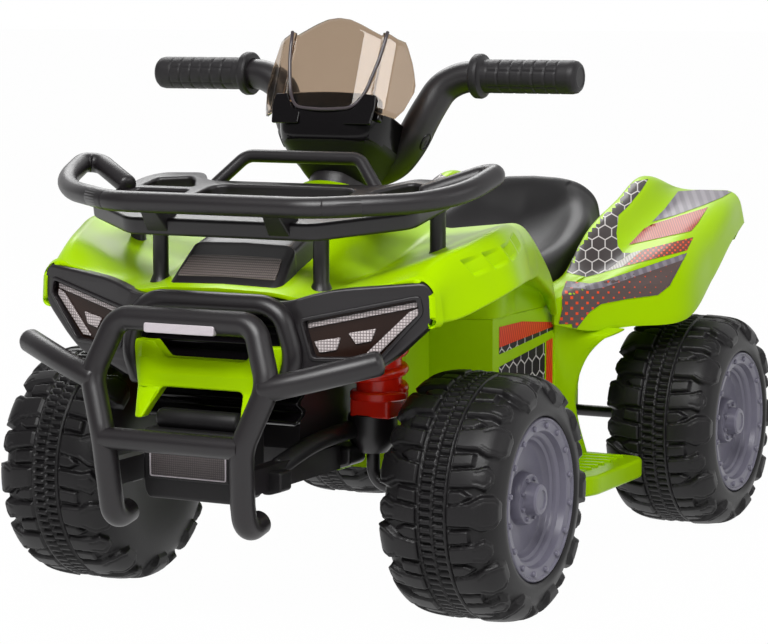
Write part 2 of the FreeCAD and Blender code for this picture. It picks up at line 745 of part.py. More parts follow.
def rear_fairing():
    stations = rear_stations()
    shape = shell_loft(stations, s.shell_wall)
    tail, half = stations[-1]
    line = [Vector(across, tail, up) for across, up in half[2:]]
    line.append(Vector(half[-1][0] - 40, tail, half[-1][1] + 4))
    line.append(Vector(half[2][0], tail, half[2][1] - 12))
    for side in (1, -1):
        points = line if side > 0 else mirrored(line)
        shape = shape.fuse(prism(points, Vector(0, -s.shell_wall, 0)))
    shape = shape.removeSplitter()
    return body_piece("rear_fairing", shape)


rear_panel = rear_fairing()


# Seat: a dished moulded shell with a raised back, its skirt standing on the seat pan
def seat():
    front = fairing_end * 0.765 + s.face_gap
    rear = s.wheelbase
    stations = (
        (front, ((0, 74), (40, 75), (58, 77), (66, 74), (68, 40))),
        (front + 42, ((0, 58), (44, 60), (70, 65), (80, 62), (82, 18))),
        (rear - 136, ((0, 46), (44, 48), (74, 58), (83, 56), (84, 0))),
        (rear - 76, ((0, 44), (44, 46), (72, 64), (82, 64), (84, 0))),
        (rear - 26, ((0, 54), (44, 60), (68, 88), (79, 90), (83, 20))),
        (rear + 14, ((0, 80), (38, 90), (58, 106), (69, 105), (74, 40))),
        (rear + 36, ((0, 104), (26, 107), (40, 108), (50, 104), (56, 60))),
    )
    shape = shell_loft(stations, s.shell_wall)
    pan = [(station, [(across, up + s.face_gap) for across, up in half]) for station, half in rear_stations()]
    shape = shape.cut(solid_loft(pan, 60))
    shape = shape.cut(block((-100, -100, -60), (100, rear - 178, s.tub_top + s.face_gap)))
    return body_piece("seat", max(shape.Solids, key=lambda part: part.Volume))


seat()


# Footboards: a tread board beside each leg panel with a riser under the tub
def footboard(label, side):
    rear = s.wheelbase - s.tyre_radius
    front = rear - s.board_length
    low = -s.board_drop
    top = low + s.board_thick
    inner = s.leg_half - 36
    outer = s.leg_half + s.board_reach
    near, far = sorted((side * inner, side * outer))
    shape = block((near, front, low), (far, rear, top))
    near, far = sorted((side * inner, side * s.leg_half))
    shape = shape.fuse(block((near, front + 30, top), (far, rear, -s.tub_floor)))
    rib = s.board_length / 10
    near, far = sorted((side * (s.leg_half + 6), side * (outer - 5)))
    for index in range(2, 9):
        along = front + rib * index
        if side > 0 or along < rear - s.pedal_length - 26:
            shape = shape.fuse(block((near, along, top), (far, along + rib / 2, top + 1.5)))
    if side < 0:
        pivot_y = rear - 12
        pivot_z = top + 7
        for edge in (-1, 1):
            inner_face = s.pedal_width / 2 + s.face_gap
            start, end = sorted((edge * inner_face, edge * (inner_face + 5)))
            centre = side * (s.leg_half + s.board_reach / 2)
            lug = block((centre + start, pivot_y - 6, top), (centre + end, pivot_y + 6, pivot_z + 6))
            shape = shape.fuse(lug)
        bore = s.pin_radius + s.running_gap
        shape = shape.cut(rod(bore, (-2 * s.track, pivot_y, pivot_z), (0, pivot_y, pivot_z)))
    return body_piece(label, shape.removeSplitter())


footboard("footboard_left", 1)
footboard("footboard_right", -1)


# Accelerator pedal: a tread plate on a cross pin held by the lugs of the right footboard
def accelerator_pedal():
    centre = -(s.leg_half + s.board_reach / 2)
    pivot_y = s.wheelbase - s.tyre_radius - 12
    pivot_z = -s.board_drop + s.board_thick + 7
    half = s.pedal_width / 2
    shape = block((-half, -s.pedal_length + 8, 0), (half, 0, s.pedal_thick))
    shape = shape.fuse(rod(s.pin_radius + 2, (-half, 0, 0), (half, 0, 0)))
    reach = half + s.face_gap + 5
    shape = shape.fuse(rod(s.pin_radius, (-reach, 0, 0), (reach, 0, 0)))
    for index in range(4):
        along = -s.pedal_length + 14 + index * 9
        rib = block((-half + 4, along, s.pedal_thick), (half - 4, along + 4, s.pedal_thick + 1.5))
        shape = shape.fuse(rib)
    place = Placement(Vector(centre, front_y + pivot_y, arch_z + pivot_z), Rotation())
    return feature("accelerator_pedal", shape.removeSplitter(), place)


accelerator_pedal()

# Mask outlines from the front: half width and height above the arch line
MASK = ((0, 58), (64, 56), (82, 63), (160, 72), (164, 42), (124, 9), (98, 4), (74, -4), (0, -4))
MASK_MOUTH = ((0, 49), (55, 47), (63, 18), (54, -5), (0, -5))
LENS = ((75, 46), (155, 62), (156, 52), (116, 17), (79, 19))


def headlight(side, grow=0.0):
    middle_x = sum(across for across, up in LENS) / len(LENS)
    middle_z = sum(up for across, up in LENS) / len(LENS)
    half = []
    for across, up in LENS:
        way = Vector(across - middle_x, 0, up - middle_z)
        stretch = 1 + grow / way.Length
        half.append((side * (middle_x + way.x * stretch), middle_z + way.z * stretch))
    return front_prism(half, -200, 0).common(mask_slab(MASK_FRONT - 1.5, mask_back - 2 + grow * 20))


def nose_fascia():
    shape = None
    for side in (1, -1):
        mask = front_prism([(side * across, up) for across, up in MASK], -200, 0)
        mouth = front_prism([(side * across, up) for across, up in MASK_MOUTH], -200, 0)
        mask = mask.cut(mouth)
        shape = mask if shape is None else shape.fuse(mask)
    shape = shape.common(mask_slab(MASK_FRONT, mask_back))
    for side in (1, -1):
        shape = shape.cut(headlight(side, s.face_gap))
    back = block((-64, mask_back, 0), (64, mask_back + 3, 50))
    shape = shape.fuse(back)
    for side in (1, -1):
        line = [(side * across, up) for across, up in LENS]
        shape = shape.fuse(front_prism(line, -200, 0).common(mask_slab(mask_back - 2, mask_back)))
    shape = shape.cut(fairing_local)
    return body_piece("nose_fascia", max(shape.removeSplitter().Solids, key=lambda part: part.Volume))


nose_fascia()
body_piece("headlight_left", headlight(1))
body_piece("headlight_right", headlight(-1))


# Grille bar: a green crosspiece with two flared uprights in the mouth of the mask
def grille_bar():
    body = new_body("grille_bar", ("0", f"{FRONT_Y} + {mask_back}", ARCH_Z))
    drawn = sketch_on(body, "grille_outline", "XZ_Plane")
    half = ((0, 13), (34, 13), (40, 26), (58, 28), (50, -20), (42, -20), (34, 1), (0, 1))
    right = [(str(across), str(up)) for across, up in half[1:-1]]
    left = [(f"-{across}", up) for across, up in right[::-1]]
    outline(drawn, right + left)
    pad(body, "grille_slab", drawn, 21)
    return body


grille_bar()


# Hood panel and its lens: plates that follow the hood between its shoulders
def hood_plate(label, rise, thick, near, far, half_near, half_far):
    stations = fairing_stations()

    def hood_height(along, across):
        for (low, half_low), (high, half_high) in zip(stations, stations[1:]):
            if low <= along <= high:
                share = (along - low) / (high - low)
                middle = half_low[0][1] + share * (half_high[0][1] - half_low[0][1])
                edge = half_low[1][1] + share * (half_high[1][1] - half_low[1][1])
                return middle + (edge - middle) * across / 48
        return 0

    rows = []
    for along, half in ((near, half_near), (-60, None), (far, half_far)):
        if half is None:
            if not near < along < far:
                continue
            half = half_near + (half_far - half_near) * (along - near) / (far - near)
        rows.append((along, ((0, hood_height(along, 0) + rise), (half, hood_height(along, half) + rise))))
    return body_piece(label, shell_loft(rows, thick))


hood_plate("hood_panel", 3.3, 3, -101, -6, 46, 36)
hood_plate("hood_lens", 5.6, 2, -99, -74, 40, 36)

# Bull bar: hoop with hooked feet, crossbar, wings, reflector strip
crossbar_y = -s.front_overhang + s.crossbar_radius
hoop_y = -s.front_overhang + s.hoop_radius
bar_top = 44
bar_low = -41
HOOP = (
    (55, hoop_y + 29, -98),
    (55, hoop_y + 9, -102),
    (55, hoop_y + 5, -82),
    (57, hoop_y, bar_low),
    (73, hoop_y + 10, 2),
    (57, hoop_y + 20, bar_top),
)
HOOP_BENDS = (12, 40, 40, 30, 16)


def bumper_hoop():
    right = [Vector(*point) for point in HOOP]
    corners = right + mirrored(right)[::-1]
    bends = HOOP_BENDS + HOOP_BENDS[::-1]
    return tube(corners, bends, s.hoop_radius)


hoop = bumper_hoop()
body_piece("bumper_hoop", hoop)
crossbar = rod(s.crossbar_radius, (-57, crossbar_y, bar_low), (57, crossbar_y, bar_low)).cut(hoop)
body_piece("bumper_crossbar", max(crossbar.Solids, key=lambda part: part.Volume))


def wing(side):
    start = Vector(side * 73, hoop_y + 10, 2)
    end = Vector(side * 143, hoop_y + 36, 19)
    shape = rod(s.wing_radius, start, end).fuse(Part.makeSphere(s.wing_radius, end))
    shape = shape.cut(hoop)
    return max(shape.Solids, key=lambda part: part.Volume)


body_piece("bumper_wings", Part.makeCompound([wing(1), wing(-1)]))
strip_y = hoop_y + 20 - s.hoop_radius
strip = block((-30, strip_y - 1, bar_top - 5), (30, strip_y + 4, bar_top + 5)).cut(hoop)
body_piece("bumper_reflector", max(strip.Solids, key=lambda part: part.Volume))

# Winch box, and the subframe straps that carry the bull bar and the winch
strap_in = 49
strap_out = 60
strap_low = -76
strap_high = -58
beam_front = -30


def winch_box():
    shape = block((-40, -146, -90), (40, -108, -22))
    drum = rod(11, (-44, -134, -14), (44, -134, -14))
    shape = shape.fuse(drum.common(block((-44, -150, -22), (44, -100, 0))))
    for height in (-72, -40):
        shape = shape.fuse(block((-34, -149, height), (34, -146, height + 22)))
    shape = shape.fuse(block((-strap_in, -130, strap_low), (strap_in, -110, strap_high)))
    return body_piece("winch_box", shape.removeSplitter())


def subframe():
    straps = []
    for side in (1, -1):
        near, far = sorted((side * strap_in, side * strap_out))
        strap = block((near, crossbar_y + 2, strap_low), (far, beam_front, strap_high)).cut(hoop)
        straps.append(max(strap.Solids, key=lambda part: part.BoundBox.YMax))
    return body_piece("subframe_straps", Part.makeCompound(straps))


winch_box()
subframe()

# Rack frame: the tray's front edge in the middle, tilted up towards the rider
rack_place = Placement(Vector(0, -106, 105), Rotation(Vector(1, 0, 0), s.rack_tilt))
TRAY = ((0, 0), (77, 0), (134, 42), (137, 50), (137, 124), (128, 138), (92, 142), (76, 118), (0, 118))
TRAY_SLOTS = (
    ((0, 22), (56, 22), (62, 30), (62, 98), (54, 104), (0, 104)),
    ((74, 28), (84, 24), (122, 52), (122, 60), (74, 60)),
    ((74, 70), (122, 70), (122, 86), (74, 86)),
    ((76, 96), (122, 96), (122, 118), (96, 126), (88, 118)),
)


def on_rack(shape):
    return shape.transformed(rack_place.toMatrix(), True)


def rack_tray():
    shape = plan_prism(TRAY[1:-1], 0, s.rack_plate)
    for slot in TRAY_SLOTS:
        if slot[0][0] == 0:
            shape = shape.cut(plan_prism(slot[1:-1], -1, s.rack_plate + 1))
            continue
        for side in (1, -1):
            points = [Vector(side * across, along, -1) for across, along in slot]
            shape = shape.cut(prism(points, Vector(0, 0, s.rack_plate + 2)))
    return on_rack(shape)


tray = rack_tray()
body_piece("rack_tray", tray)


def rack_tube(label, corners, bends, radius):
    shape = tube(corners, bends, radius).cut(tray)
    return body_piece(label, max(shape.Solids, key=lambda part: part.Volume))


rail_right = [Vector(131, -60, 116), Vector(131, -90, 127), Vector(83, -118, 125)]
rack_tube("rack_front_rail", rail_right + mirrored(rail_right)[::-1], (14, 30, 30, 14), s.rail_radius)
loop_right = [
    Vector(130, -34, 124),
    Vector(154, -68, 128),
    Vector(172, -6, 141),
    Vector(166, 19, 141),
    Vector(130, 16, 133),
]
LOOP_BENDS = (12, 30, 14)
rack_tube("rack_loop_left", loop_right, LOOP_BENDS, s.rail_radius)
rack_tube("rack_loop_right", mirrored(loop_right), LOOP_BENDS, s.rail_radius)
hoop_right = [Vector(70, 10, 130), Vector(49, 22, 152)]
rack_tube("rack_hoop", hoop_right + mirrored(hoop_right)[::-1], (14, 14), s.rack_hoop_radius)


def rack_posts():
    posts = []
    for across, along, bottom in ((68, -74, 60), (129.5, 8, 74)):
        for side in (1, -1):
            post = rod(s.post_radius, (side * across, along, bottom), (side * across, along, 150))
            post = post.cut(tray).cut(fairing_local)
            within = [part for part in post.Solids if part.BoundBox.ZMax < 140]
            posts.append(max(within, key=lambda part: part.BoundBox.ZMax))
    return body_piece("rack_posts", Part.makeCompound(posts))


rack_posts()


# Steering column: a rod with a crank plate and its pin at the foot
def steering_column():
    body = new_body("steering_column", ("0", FRONT_Y, "0"), column_turn)
    body.setExpression("Placement.Base.y", f"{FRONT_Y} + Sizes.steer_arm * (1 - cos(Sizes.rake * 1 deg))")
    body.setExpression("Placement.Base.z", "Sizes.tyre_radius + Sizes.column_foot")
    shaft = sketch_on(body, "column_outline", "XY_Plane", "8")
    ring(shaft, "0", "0", "Sizes.column_radius")
    pad(body, "column_shaft", shaft, "Sizes.column_length - 8")
    plate = sketch_on(body, "crank_outline", "XY_Plane", "8")
    half = "Sizes.column_radius"
    reach = "Sizes.steer_arm + Sizes.column_radius"
    outline(plate, ((f"-{half}", f"-{half}"), (half, f"-{half}"), (half, reach), (f"-{half}", reach)))
    pad(body, "crank_plate", plate, "5")
    pin = sketch_on(body, "crank_pin_outline", "XY_Plane", "-6")
    ring(pin, "0", "Sizes.steer_arm", "Sizes.pin_radius")
    pad(body, "crank_pin", pin, "16")
    return body


steering_column()

# Pieces on the steering column share its frame
bar_y = s.bar_setback
boss_low = s.column_length - 15


def handlebar_shape():
    straight = s.bar_half - s.grip_length
    right = [
        Vector(0, bar_y, boss_low + 12),
        Vector(44, bar_y, boss_low + 12),
        Vector(s.bar_half - s.grip_length - 16, bar_y, s.bar_rise),
        Vector(straight, bar_y, s.bar_rise),
    ]
    shape = None
    for side in (1, -1):
        corners = [Vector(side * point.x, point.y, point.z) for point in right]
        half = tube(corners, (26, 20), s.bar_radius)
        core_end = (side * (s.bar_half - 3), bar_y, s.bar_rise)
        half = half.fuse(rod(s.grip_radius - 3.5, (side * (straight - 4), bar_y, s.bar_rise), core_end))
        shape = half if shape is None else shape.fuse(half)
    shape = shape.fuse(rod(18, (0, 0, boss_low), (0, 0, boss_low + 24)))
    shape = shape.cut(rod(s.column_radius, (0, 0, 0), (0, 0, s.column_length)))
    return shape.removeSplitter()


bar_shape = handlebar_shape()
feature("handlebar", bar_shape, column_place)


def grip(label, side):
    start = s.bar_half - s.grip_length
    shape = rod(s.grip_radius, (start, bar_y, s.bar_rise), (s.bar_half, bar_y, s.bar_rise))
    shape = shape.fuse(rod(s.grip_collar, (start, bar_y, s.bar_rise), (start + 7, bar_y, s.bar_rise)))
    if side < 0:
        shape = shape.mirror(Vector(), Vector(1, 0, 0))
    shape = shape.cut(bar_shape)
    return feature(label, max(shape.Solids, key=lambda part: part.Volume), column_place)


grip("grip_left", 1)
grip("grip_right", -1)


# Column bush: a flanged sleeve between the column and the collar of the fairing
def column_bush():
    top = 196
    shape = rod(14.7, (0, 0, top - 22), (0, 0, top)).fuse(rod(22, (0, 0, top), (0, 0, top + 3)))
    shape = shape.cut(rod(s.column_radius + s.running_gap, (0, 0, 0), (0, 0, 300)))
    return feature("column_bush", shape, column_place)


column_bush()

BUTTON_X = 17
button_w = boss_low + 62
panel_n = -9
BUTTON_LENGTH = 11
BINNACLE = (
    (boss_low + 4, 20, -30, -12),
    (boss_low + 20, 38, -37, panel_n),
    (boss_low + 60, 50, -40, panel_n),
    (boss_low + 92, 57, -40, panel_n),
)


def binnacle_shape():
    wires = []
    for height, half, front, back in BINNACLE:
        right = [
            Vector(half * 0.55, front, height),
            Vector(half, front * 0.72 + back * 0.28, height),
            Vector(half, back, height),
        ]
        line = right + mirrored(right)[::-1]
        wires.append(Part.makePolygon(line + [line[0]]))
    shape = Part.makeLoft(wires, True, True)
    for side in (-1, 1):
        depth = BUTTON_LENGTH + s.button_travel + 1
        bore = s.button_radius + s.face_gap
        start = (side * BUTTON_X, panel_n - depth + 4, button_w)
        shape = shape.cut(rod(bore, start, (side * BUTTON_X, 0, button_w)))
    shape = shape.cut(bar_shape)
    return max(shape.Solids, key=lambda part: part.Volume)


binnacle = binnacle_shape()
feature("binnacle", binnacle, column_place)


# Windscreen: a bowed smoked sheet in front of the binnacle
def windscreen():
    crest = s.bar_rise + 27
    top = ((58, crest - 17), (42, crest - 9), (22, crest - 2), (0, crest))
    base = boss_low + 50
    right = [(54, base + 6)] + list(top[:-1])
    line = [Vector(across, -80, height) for across, height in right]
    line.append(Vector(0, -80, crest))
    line += mirrored(line[:-1])[::-1]
    line += [Vector(-22, -80, base), Vector(22, -80, base)]
    sheet_block = prism(line, Vector(0, 80, 0))
    bow = 140
    middle = -47 + bow
    outer = rod(bow, (0, middle, 0), (0, middle, 400))
    inner = rod(bow - 3, (0, middle, 0), (0, middle, 400))
    shape = sheet_block.common(outer).cut(inner)
    shape = shape.cut(block((-100, -20, 0), (100, 100, 400))).cut(binnacle)
    return feature("windscreen", max(shape.Solids, key=lambda part: part.Volume), column_place)


windscreen()


def push_button(label, side):
    start = (side * BUTTON_X, panel_n - BUTTON_LENGTH + 4, button_w)
    end = (side * BUTTON_X, panel_n + 4, button_w)
    return feature(label, rod(s.button_radius, start, end), column_place)


push_button("horn_button", 1)
push_button("music_button", -1)

# Rear axle and its nuts
rear_end = axle_end
solid_axle = solid(
    "Part::Cylinder", "rear_axle",
    {"Radius": "Sizes.axle_radius", "Height": str(2 * rear_end)},
    (str(-rear_end), REAR_Y, "Sizes.tyre_radius"), (1, 0, 0),
)
keep(solid_axle, "rear_axle")


def hexagon(radius, start, length):
    points = []
    for index in range(6):
        angle = math.pi / 3 * index
        points.append(Vector(start, radius * math.cos(angle), radius * math.sin(angle)))
    return prism(points, Vector(length, 0, 0))


def rear_axle_nuts():
    nuts = []
    for side in (1, -1):
        start = side * (rear_end - nut_thick + s.face_gap)
        nut = hexagon(s.axle_radius + 3, start, side * (nut_thick - s.face_gap))
        nuts.append(nut.cut(rod(s.axle_radius, (-300, 0, 0), (300, 0, 0))))
    return feature("rear_axle_nuts", Part.makeCompound(nuts), rear_axle_place)


rear_axle_nuts()


# Gears: involute teeth, thinned for free running
def gear_wire(teeth, module, phase):
    pressure = math.radians(20)
    pitch = teeth * module / 2
    base = pitch * math.cos(pressure)
    tip = pitch + 0.9 * module
    root = pitch - 1.2 * module
    thinning = 0.82

    def involute(radius):
        angle = math.acos(min(1, base / radius))
        return math.tan(angle) - angle

    flank_start = max(base, root)
    radii = [flank_start + (tip - flank_start) * step / 4 for step in range(5)]
    half_pitch = math.pi / (2 * teeth) * thinning + involute(pitch)
    points = []
    for tooth in range(int(teeth)):
        middle = phase + 2 * math.pi * tooth / teeth
        flank = [(radius, half_pitch - involute(radius)) for radius in radii]
        if root < flank_start:
            flank.insert(0, (root, flank[0][1]))
        for radius, spread in flank:
            points.append(Vector(0, radius * math.cos(middle - spread), radius * math.sin(middle - spread)))
        for radius, spread in flank[::-1]:
            points.append(Vector(0, radius * math.cos(middle + spread), radius * math.sin(middle + spread)))
    return Part.makePolygon(points + [points[0]])


def gear(teeth, module, phase, start, width):
    shape = Part.Face(gear_wire(teeth, module, phase)).extrude(Vector(width, 0, 0))
    shape.translate(Vector(start, 0, 0))
    return shape


drive_pitch = s.drive_teeth * s.drive_module / 2
small_pitch = s.idler_small_teeth * s.drive_module / 2
large_pitch = s.idler_large_teeth * s.motor_module / 2
pinion_pitch = s.pinion_teeth * s.motor_module / 2
idler_angle = math.radians(120)
pinion_angle = math.radians(170)
idler_reach = drive_pitch + small_pitch + s.mesh_gap
pinion_reach = large_pitch + pinion_pitch + s.mesh_gap
idler_y = rear_y + idler_reach * math.cos(idler_angle)
idler_z = axle_z + idler_reach * math.sin(idler_angle)
pinion_y = idler_y + pinion_reach * math.cos(pinion_angle)
pinion_z = idler_z + pinion_reach * math.sin(pinion_angle)
case_out = -(s.tub_half + 6)
case_in = case_out + 48
drive_start = case_out + s.case_wall + 2
large_start = drive_start + s.gear_width + 6
idler_bore = 2
stub_radius = idler_bore - s.running_gap
pinion_bore = 1.5


# A tooth of the follower points at the driver, and the driver shows it a gap
def facing_phase(teeth, angle, gap):
    shift = math.pi / teeth if gap else 0
    return angle + shift


def drive_gear():
    phase = facing_phase(s.drive_teeth, idler_angle, True)
    shape = gear(s.drive_teeth, s.drive_module, phase, drive_start, s.gear_width)
    sleeve_end = -(s.track / 2 - s.tyre_width / 2 + s.tyre_wall)
    sleeve = rod(s.axle_radius + 6, (drive_start, 0, 0), (sleeve_end, 0, 0))
    shape = shape.fuse(sleeve)
    shape = shape.cut(rod(s.axle_radius + s.running_gap, (-300, 0, 0), (300, 0, 0)))
    return feature("drive_gear", shape, rear_axle_place)


def idler_gear():
    to_drive = idler_angle + math.pi
    small_phase = facing_phase(s.idler_small_teeth, to_drive, False)
    large_phase = facing_phase(s.idler_large_teeth, pinion_angle, True)
    small = gear(s.idler_small_teeth, s.drive_module, small_phase, drive_start, s.gear_width + 6)
    large = gear(s.idler_large_teeth, s.motor_module, large_phase, large_start, s.gear_width)
    shape = small.fuse(large).cut(rod(idler_bore, (-300, 0, 0), (300, 0, 0)))
    return feature("idler_gear", shape, Placement(Vector(0, idler_y, idler_z), Rotation()))


def motor_pinion():
    to_idler = pinion_angle + math.pi
    phase = facing_phase(s.pinion_teeth, to_idler, False)
    shape = gear(s.pinion_teeth, s.motor_module, phase, large_start, s.gear_width + 3)
    shape = shape.cut(rod(pinion_bore, (-300, 0, 0), (300, 0, 0)))
    return feature("motor_pinion", shape, Placement(Vector(0, pinion_y, pinion_z), Rotation()))


drive_gear()
idler_gear()
motor_pinion()

# Gearbox case, its cover and screws
case_low = -(s.arch_rise + drive_pitch + s.drive_module + s.case_wall + 1)
case_top = -34
case_front = pinion_y - rear_y - pinion_pitch - s.case_wall - 3
case_back = drive_pitch + s.drive_module + s.case_wall + 1
cover_thick = s.case_wall
SCREW_INSET = 6
screw_radius = 1.6


def screw_places():
    places = []
    for along in (case_front + SCREW_INSET, case_back - SCREW_INSET):
        for up in (case_low + SCREW_INSET, case_top - SCREW_INSET):
            places.append((along, up + s.arch_rise))
    return places


def gearbox_case():
    low = case_low + s.arch_rise
    top = case_top + s.arch_rise
    wall = s.case_wall
    shape = block((case_out, case_front, low), (case_in, case_back, top))
    outside = shape.copy()
    near = (case_out + wall, case_front + wall, low + wall)
    room = block(near, (case_in + 1, case_back - wall, top - wall))
    shape = shape.cut(room)
    for along, up in screw_places():
        post = rod(screw_radius + 2.4, (case_out + wall, along, up), (case_in, along, up))
        shape = shape.fuse(post.common(outside))
        shape = shape.cut(rod(screw_radius, (case_in - 12, along, up), (case_in + 1, along, up)))
    shape = shape.cut(rod(s.axle_radius + 6 + s.face_gap, (case_out - 1, 0, 0), (case_out + wall + 1, 0, 0)))
    arm = Vector(0, idler_y - rear_y, idler_z - axle_z)
    shape = shape.fuse(rod(stub_radius, (case_out + 1, arm.y, arm.z), (case_in, arm.y, arm.z)))
    return feature("gearbox_case", shape.removeSplitter(), rear_axle_place)


def gearbox_cover():
    low = case_low + s.arch_rise
    top = case_top + s.arch_rise
    shape = block((case_in, case_front, low), (case_in + cover_thick, case_back, top))
    shape = shape.cut(rod(s.axle_radius, (-300, 0, 0), (300, 0, 0)))
    for along, up in screw_places():
        shape = shape.cut(rod(screw_radius, (-300, along, up), (300, along, up)))
    along = pinion_y - rear_y
    up = pinion_z - axle_z
    shape = shape.cut(rod(4, (-300, along, up), (300, along, up)))
    return feature("gearbox_cover", shape, rear_axle_place)


def gearbox_screws():
    screws = []
    start = case_in + cover_thick
    for along, up in screw_places():
        head = rod(3.2, (start, along, up), (start + 2.2, along, up))
        screws.append(head.fuse(rod(screw_radius, (start - 14, along, up), (start, along, up))))
    return feature("gearbox_screws", Part.makeCompound(screws), rear_axle_place)


def drive_motor():
    start = case_in + cover_thick
    can = rod(s.motor_radius, (start, 0, 0), (start + s.motor_length, 0, 0))
    flat = s.motor_radius * 0.82
    shape = can.common(block((start, -s.motor_radius, -flat), (start + s.motor_length, s.motor_radius, flat)))
    shape = shape.fuse(rod(3.8, (start - cover_thick, 0, 0), (start, 0, 0)))
    shape = shape.fuse(rod(pinion_bore - s.running_gap, (large_start, 0, 0), (start, 0, 0)))
    shape = shape.fuse(rod(5, (start + s.motor_length, 0, 0), (start + s.motor_length + 3, 0, 0)))
    return feature("drive_motor", shape, Placement(Vector(0, pinion_y, pinion_z), Rotation()))


gearbox_case()
gearbox_cover()
gearbox_screws()
drive_motor()

# Battery on the tub floor
battery = solid(
    "Part::Box", "battery",
    {"Length": "Sizes.battery_width", "Width": "Sizes.battery_length", "Height": "Sizes.battery_height"},
    ("-Sizes.battery_width / 2", f"{FRONT_Y} + 0.62 * Sizes.wheelbase - Sizes.battery_length / 2",
     f"{ARCH_Z} - Sizes.tub_floor + Sizes.shell_wall"),
)
keep(battery, "battery")


# Charge socket and direction switch in the right leg panel
SWITCH_Z = -10
socket_y = 0.6 * s.wheelbase
rocker_y = 0.47 * s.wheelbase
wall_x = -s.leg_half
socket_outer = s.socket_bore + 3


def charge_socket():
    shape = rod(socket_outer, (wall_x - 2, 0, 0), (wall_x + 18, 0, 0))
    shape = shape.fuse(rod(socket_outer + 4, (wall_x - 3, 0, 0), (wall_x, 0, 0)))
    shape = shape.cut(rod(s.socket_bore, (wall_x - 4, 0, 0), (wall_x + 14, 0, 0)))
    place = Placement(Vector(0, front_y + socket_y, arch_z + SWITCH_Z), Rotation())
    return feature("charge_socket", shape, place)


def direction_switch():
    half_long = s.rocker_length / 2
    half_wide = s.rocker_width / 2
    points = [
        Vector(wall_x + 6, -half_long, -half_wide),
        Vector(wall_x - 3.5, -half_long, -half_wide),
        Vector(wall_x - 1.5, 0, -half_wide),
        Vector(wall_x - 3.5, half_long, -half_wide),
        Vector(wall_x + 6, half_long, -half_wide),
    ]
    shape = prism(points, Vector(0, 0, s.rocker_width))
    shape = shape.fuse(rod(2, (wall_x + 6, 0, -half_wide), (wall_x + 6, 0, half_wide)))
    place = Placement(Vector(0, front_y + rocker_y, arch_z + SWITCH_Z), Rotation())
    return feature("direction_switch", shape, place)


charge_socket()
direction_switch()

# Openings in the right leg panel for the socket and the switch
socket_start = (wall_x - 5, socket_y, SWITCH_Z)
panel_cut = rod(socket_outer + s.face_gap, socket_start, (wall_x + 10, socket_y, SWITCH_Z))
swing = 2
cut_long = s.rocker_length / 2 + swing
cut_wide = s.rocker_width / 2 + s.face_gap
switch_cut = block(
    (wall_x - 5, rocker_y - cut_long, SWITCH_Z - cut_wide),
    (wall_x + s.shell_wall + 1, rocker_y + cut_long, SWITCH_Z + cut_wide),
)
tub_local = tub.Shape.copy()
tub_local.Placement = Placement()
tub.Shape = tub_local.cut(panel_cut).cut(switch_cut)
bind_body_place(tub)

doc.recompute()
for made in doc.Objects:
    if "Invalid" in made.State or "Error" in made.State:
        raise RuntimeError(f"{made.Label} failed: {made.State}")
os.makedirs("parts", exist_ok=True)
for made in nodes:
    shape = made.Shape
    if shape.isNull() or not shape.isValid() or not shape.Solids:
        raise RuntimeError(f"{made.Label} has no valid solid")
    shape.exportStep(f"parts/{made.Label}.step")
print(len(nodes), "nodes written")
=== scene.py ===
import bpy
import bmesh
import numpy as np
from math import copysign, cos, hypot, pi, radians, sin, sqrt
from mathutils import Matrix, Vector
from mathutils.bvhtree import BVHTree


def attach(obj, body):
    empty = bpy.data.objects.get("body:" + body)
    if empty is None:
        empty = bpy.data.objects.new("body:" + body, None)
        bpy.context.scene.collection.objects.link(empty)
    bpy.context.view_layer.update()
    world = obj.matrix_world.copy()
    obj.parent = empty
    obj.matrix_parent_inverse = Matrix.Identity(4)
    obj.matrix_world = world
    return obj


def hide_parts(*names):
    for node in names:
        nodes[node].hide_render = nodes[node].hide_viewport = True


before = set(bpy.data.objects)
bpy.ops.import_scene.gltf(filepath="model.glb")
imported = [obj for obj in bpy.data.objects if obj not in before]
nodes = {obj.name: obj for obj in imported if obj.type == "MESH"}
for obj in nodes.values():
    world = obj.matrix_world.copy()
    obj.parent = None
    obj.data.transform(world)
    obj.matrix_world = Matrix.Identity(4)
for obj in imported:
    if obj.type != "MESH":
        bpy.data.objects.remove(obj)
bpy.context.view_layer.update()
scene = bpy.context.scene
frontAxle = -0.176   # metres along the body
rearAxle = 0.250
axleHeight = 0.092
archLine = 0.184     # level with the tyre tops
sides = {"left": 1, "right": -1}


def bodyPoint(x, v, h):   # millimetres from the middle, the front axle and the arch line
    return Vector((x / 1000, frontAxle + v / 1000, archLine + h / 1000))


# shader maths

class Wire:
    def __init__(self, paint, socket):
        self.paint = paint
        self.socket = socket

    def calc(self, operation, *values):
        return self.paint.node("ShaderNodeMath", dict(enumerate(values)), operation=operation)

    def __add__(self, other):
        return self.calc("ADD", self, other)

    def __radd__(self, other):
        return self.calc("ADD", other, self)

    def __sub__(self, other):
        return self.calc("SUBTRACT", self, other)

    def __rsub__(self, other):
        return self.calc("SUBTRACT", other, self)

    def __mul__(self, other):
        return self.calc("MULTIPLY", self, other)

    def __rmul__(self, other):
        return self.calc("MULTIPLY", other, self)

    def __truediv__(self, other):
        return self.calc("DIVIDE", self, other)

    def __mod__(self, other):
        return self.calc("FLOORED_MODULO", self, other)

    def __lt__(self, other):
        return self.calc("LESS_THAN", self, other)

    def __abs__(self):
        return self.calc("ABSOLUTE", self)

    def least(self, other):
        return self.calc("MINIMUM", self, other)

    def most(self, other):
        return self.calc("MAXIMUM", self, other)

    def clip(self):
        return self.most(0.0).least(1.0)


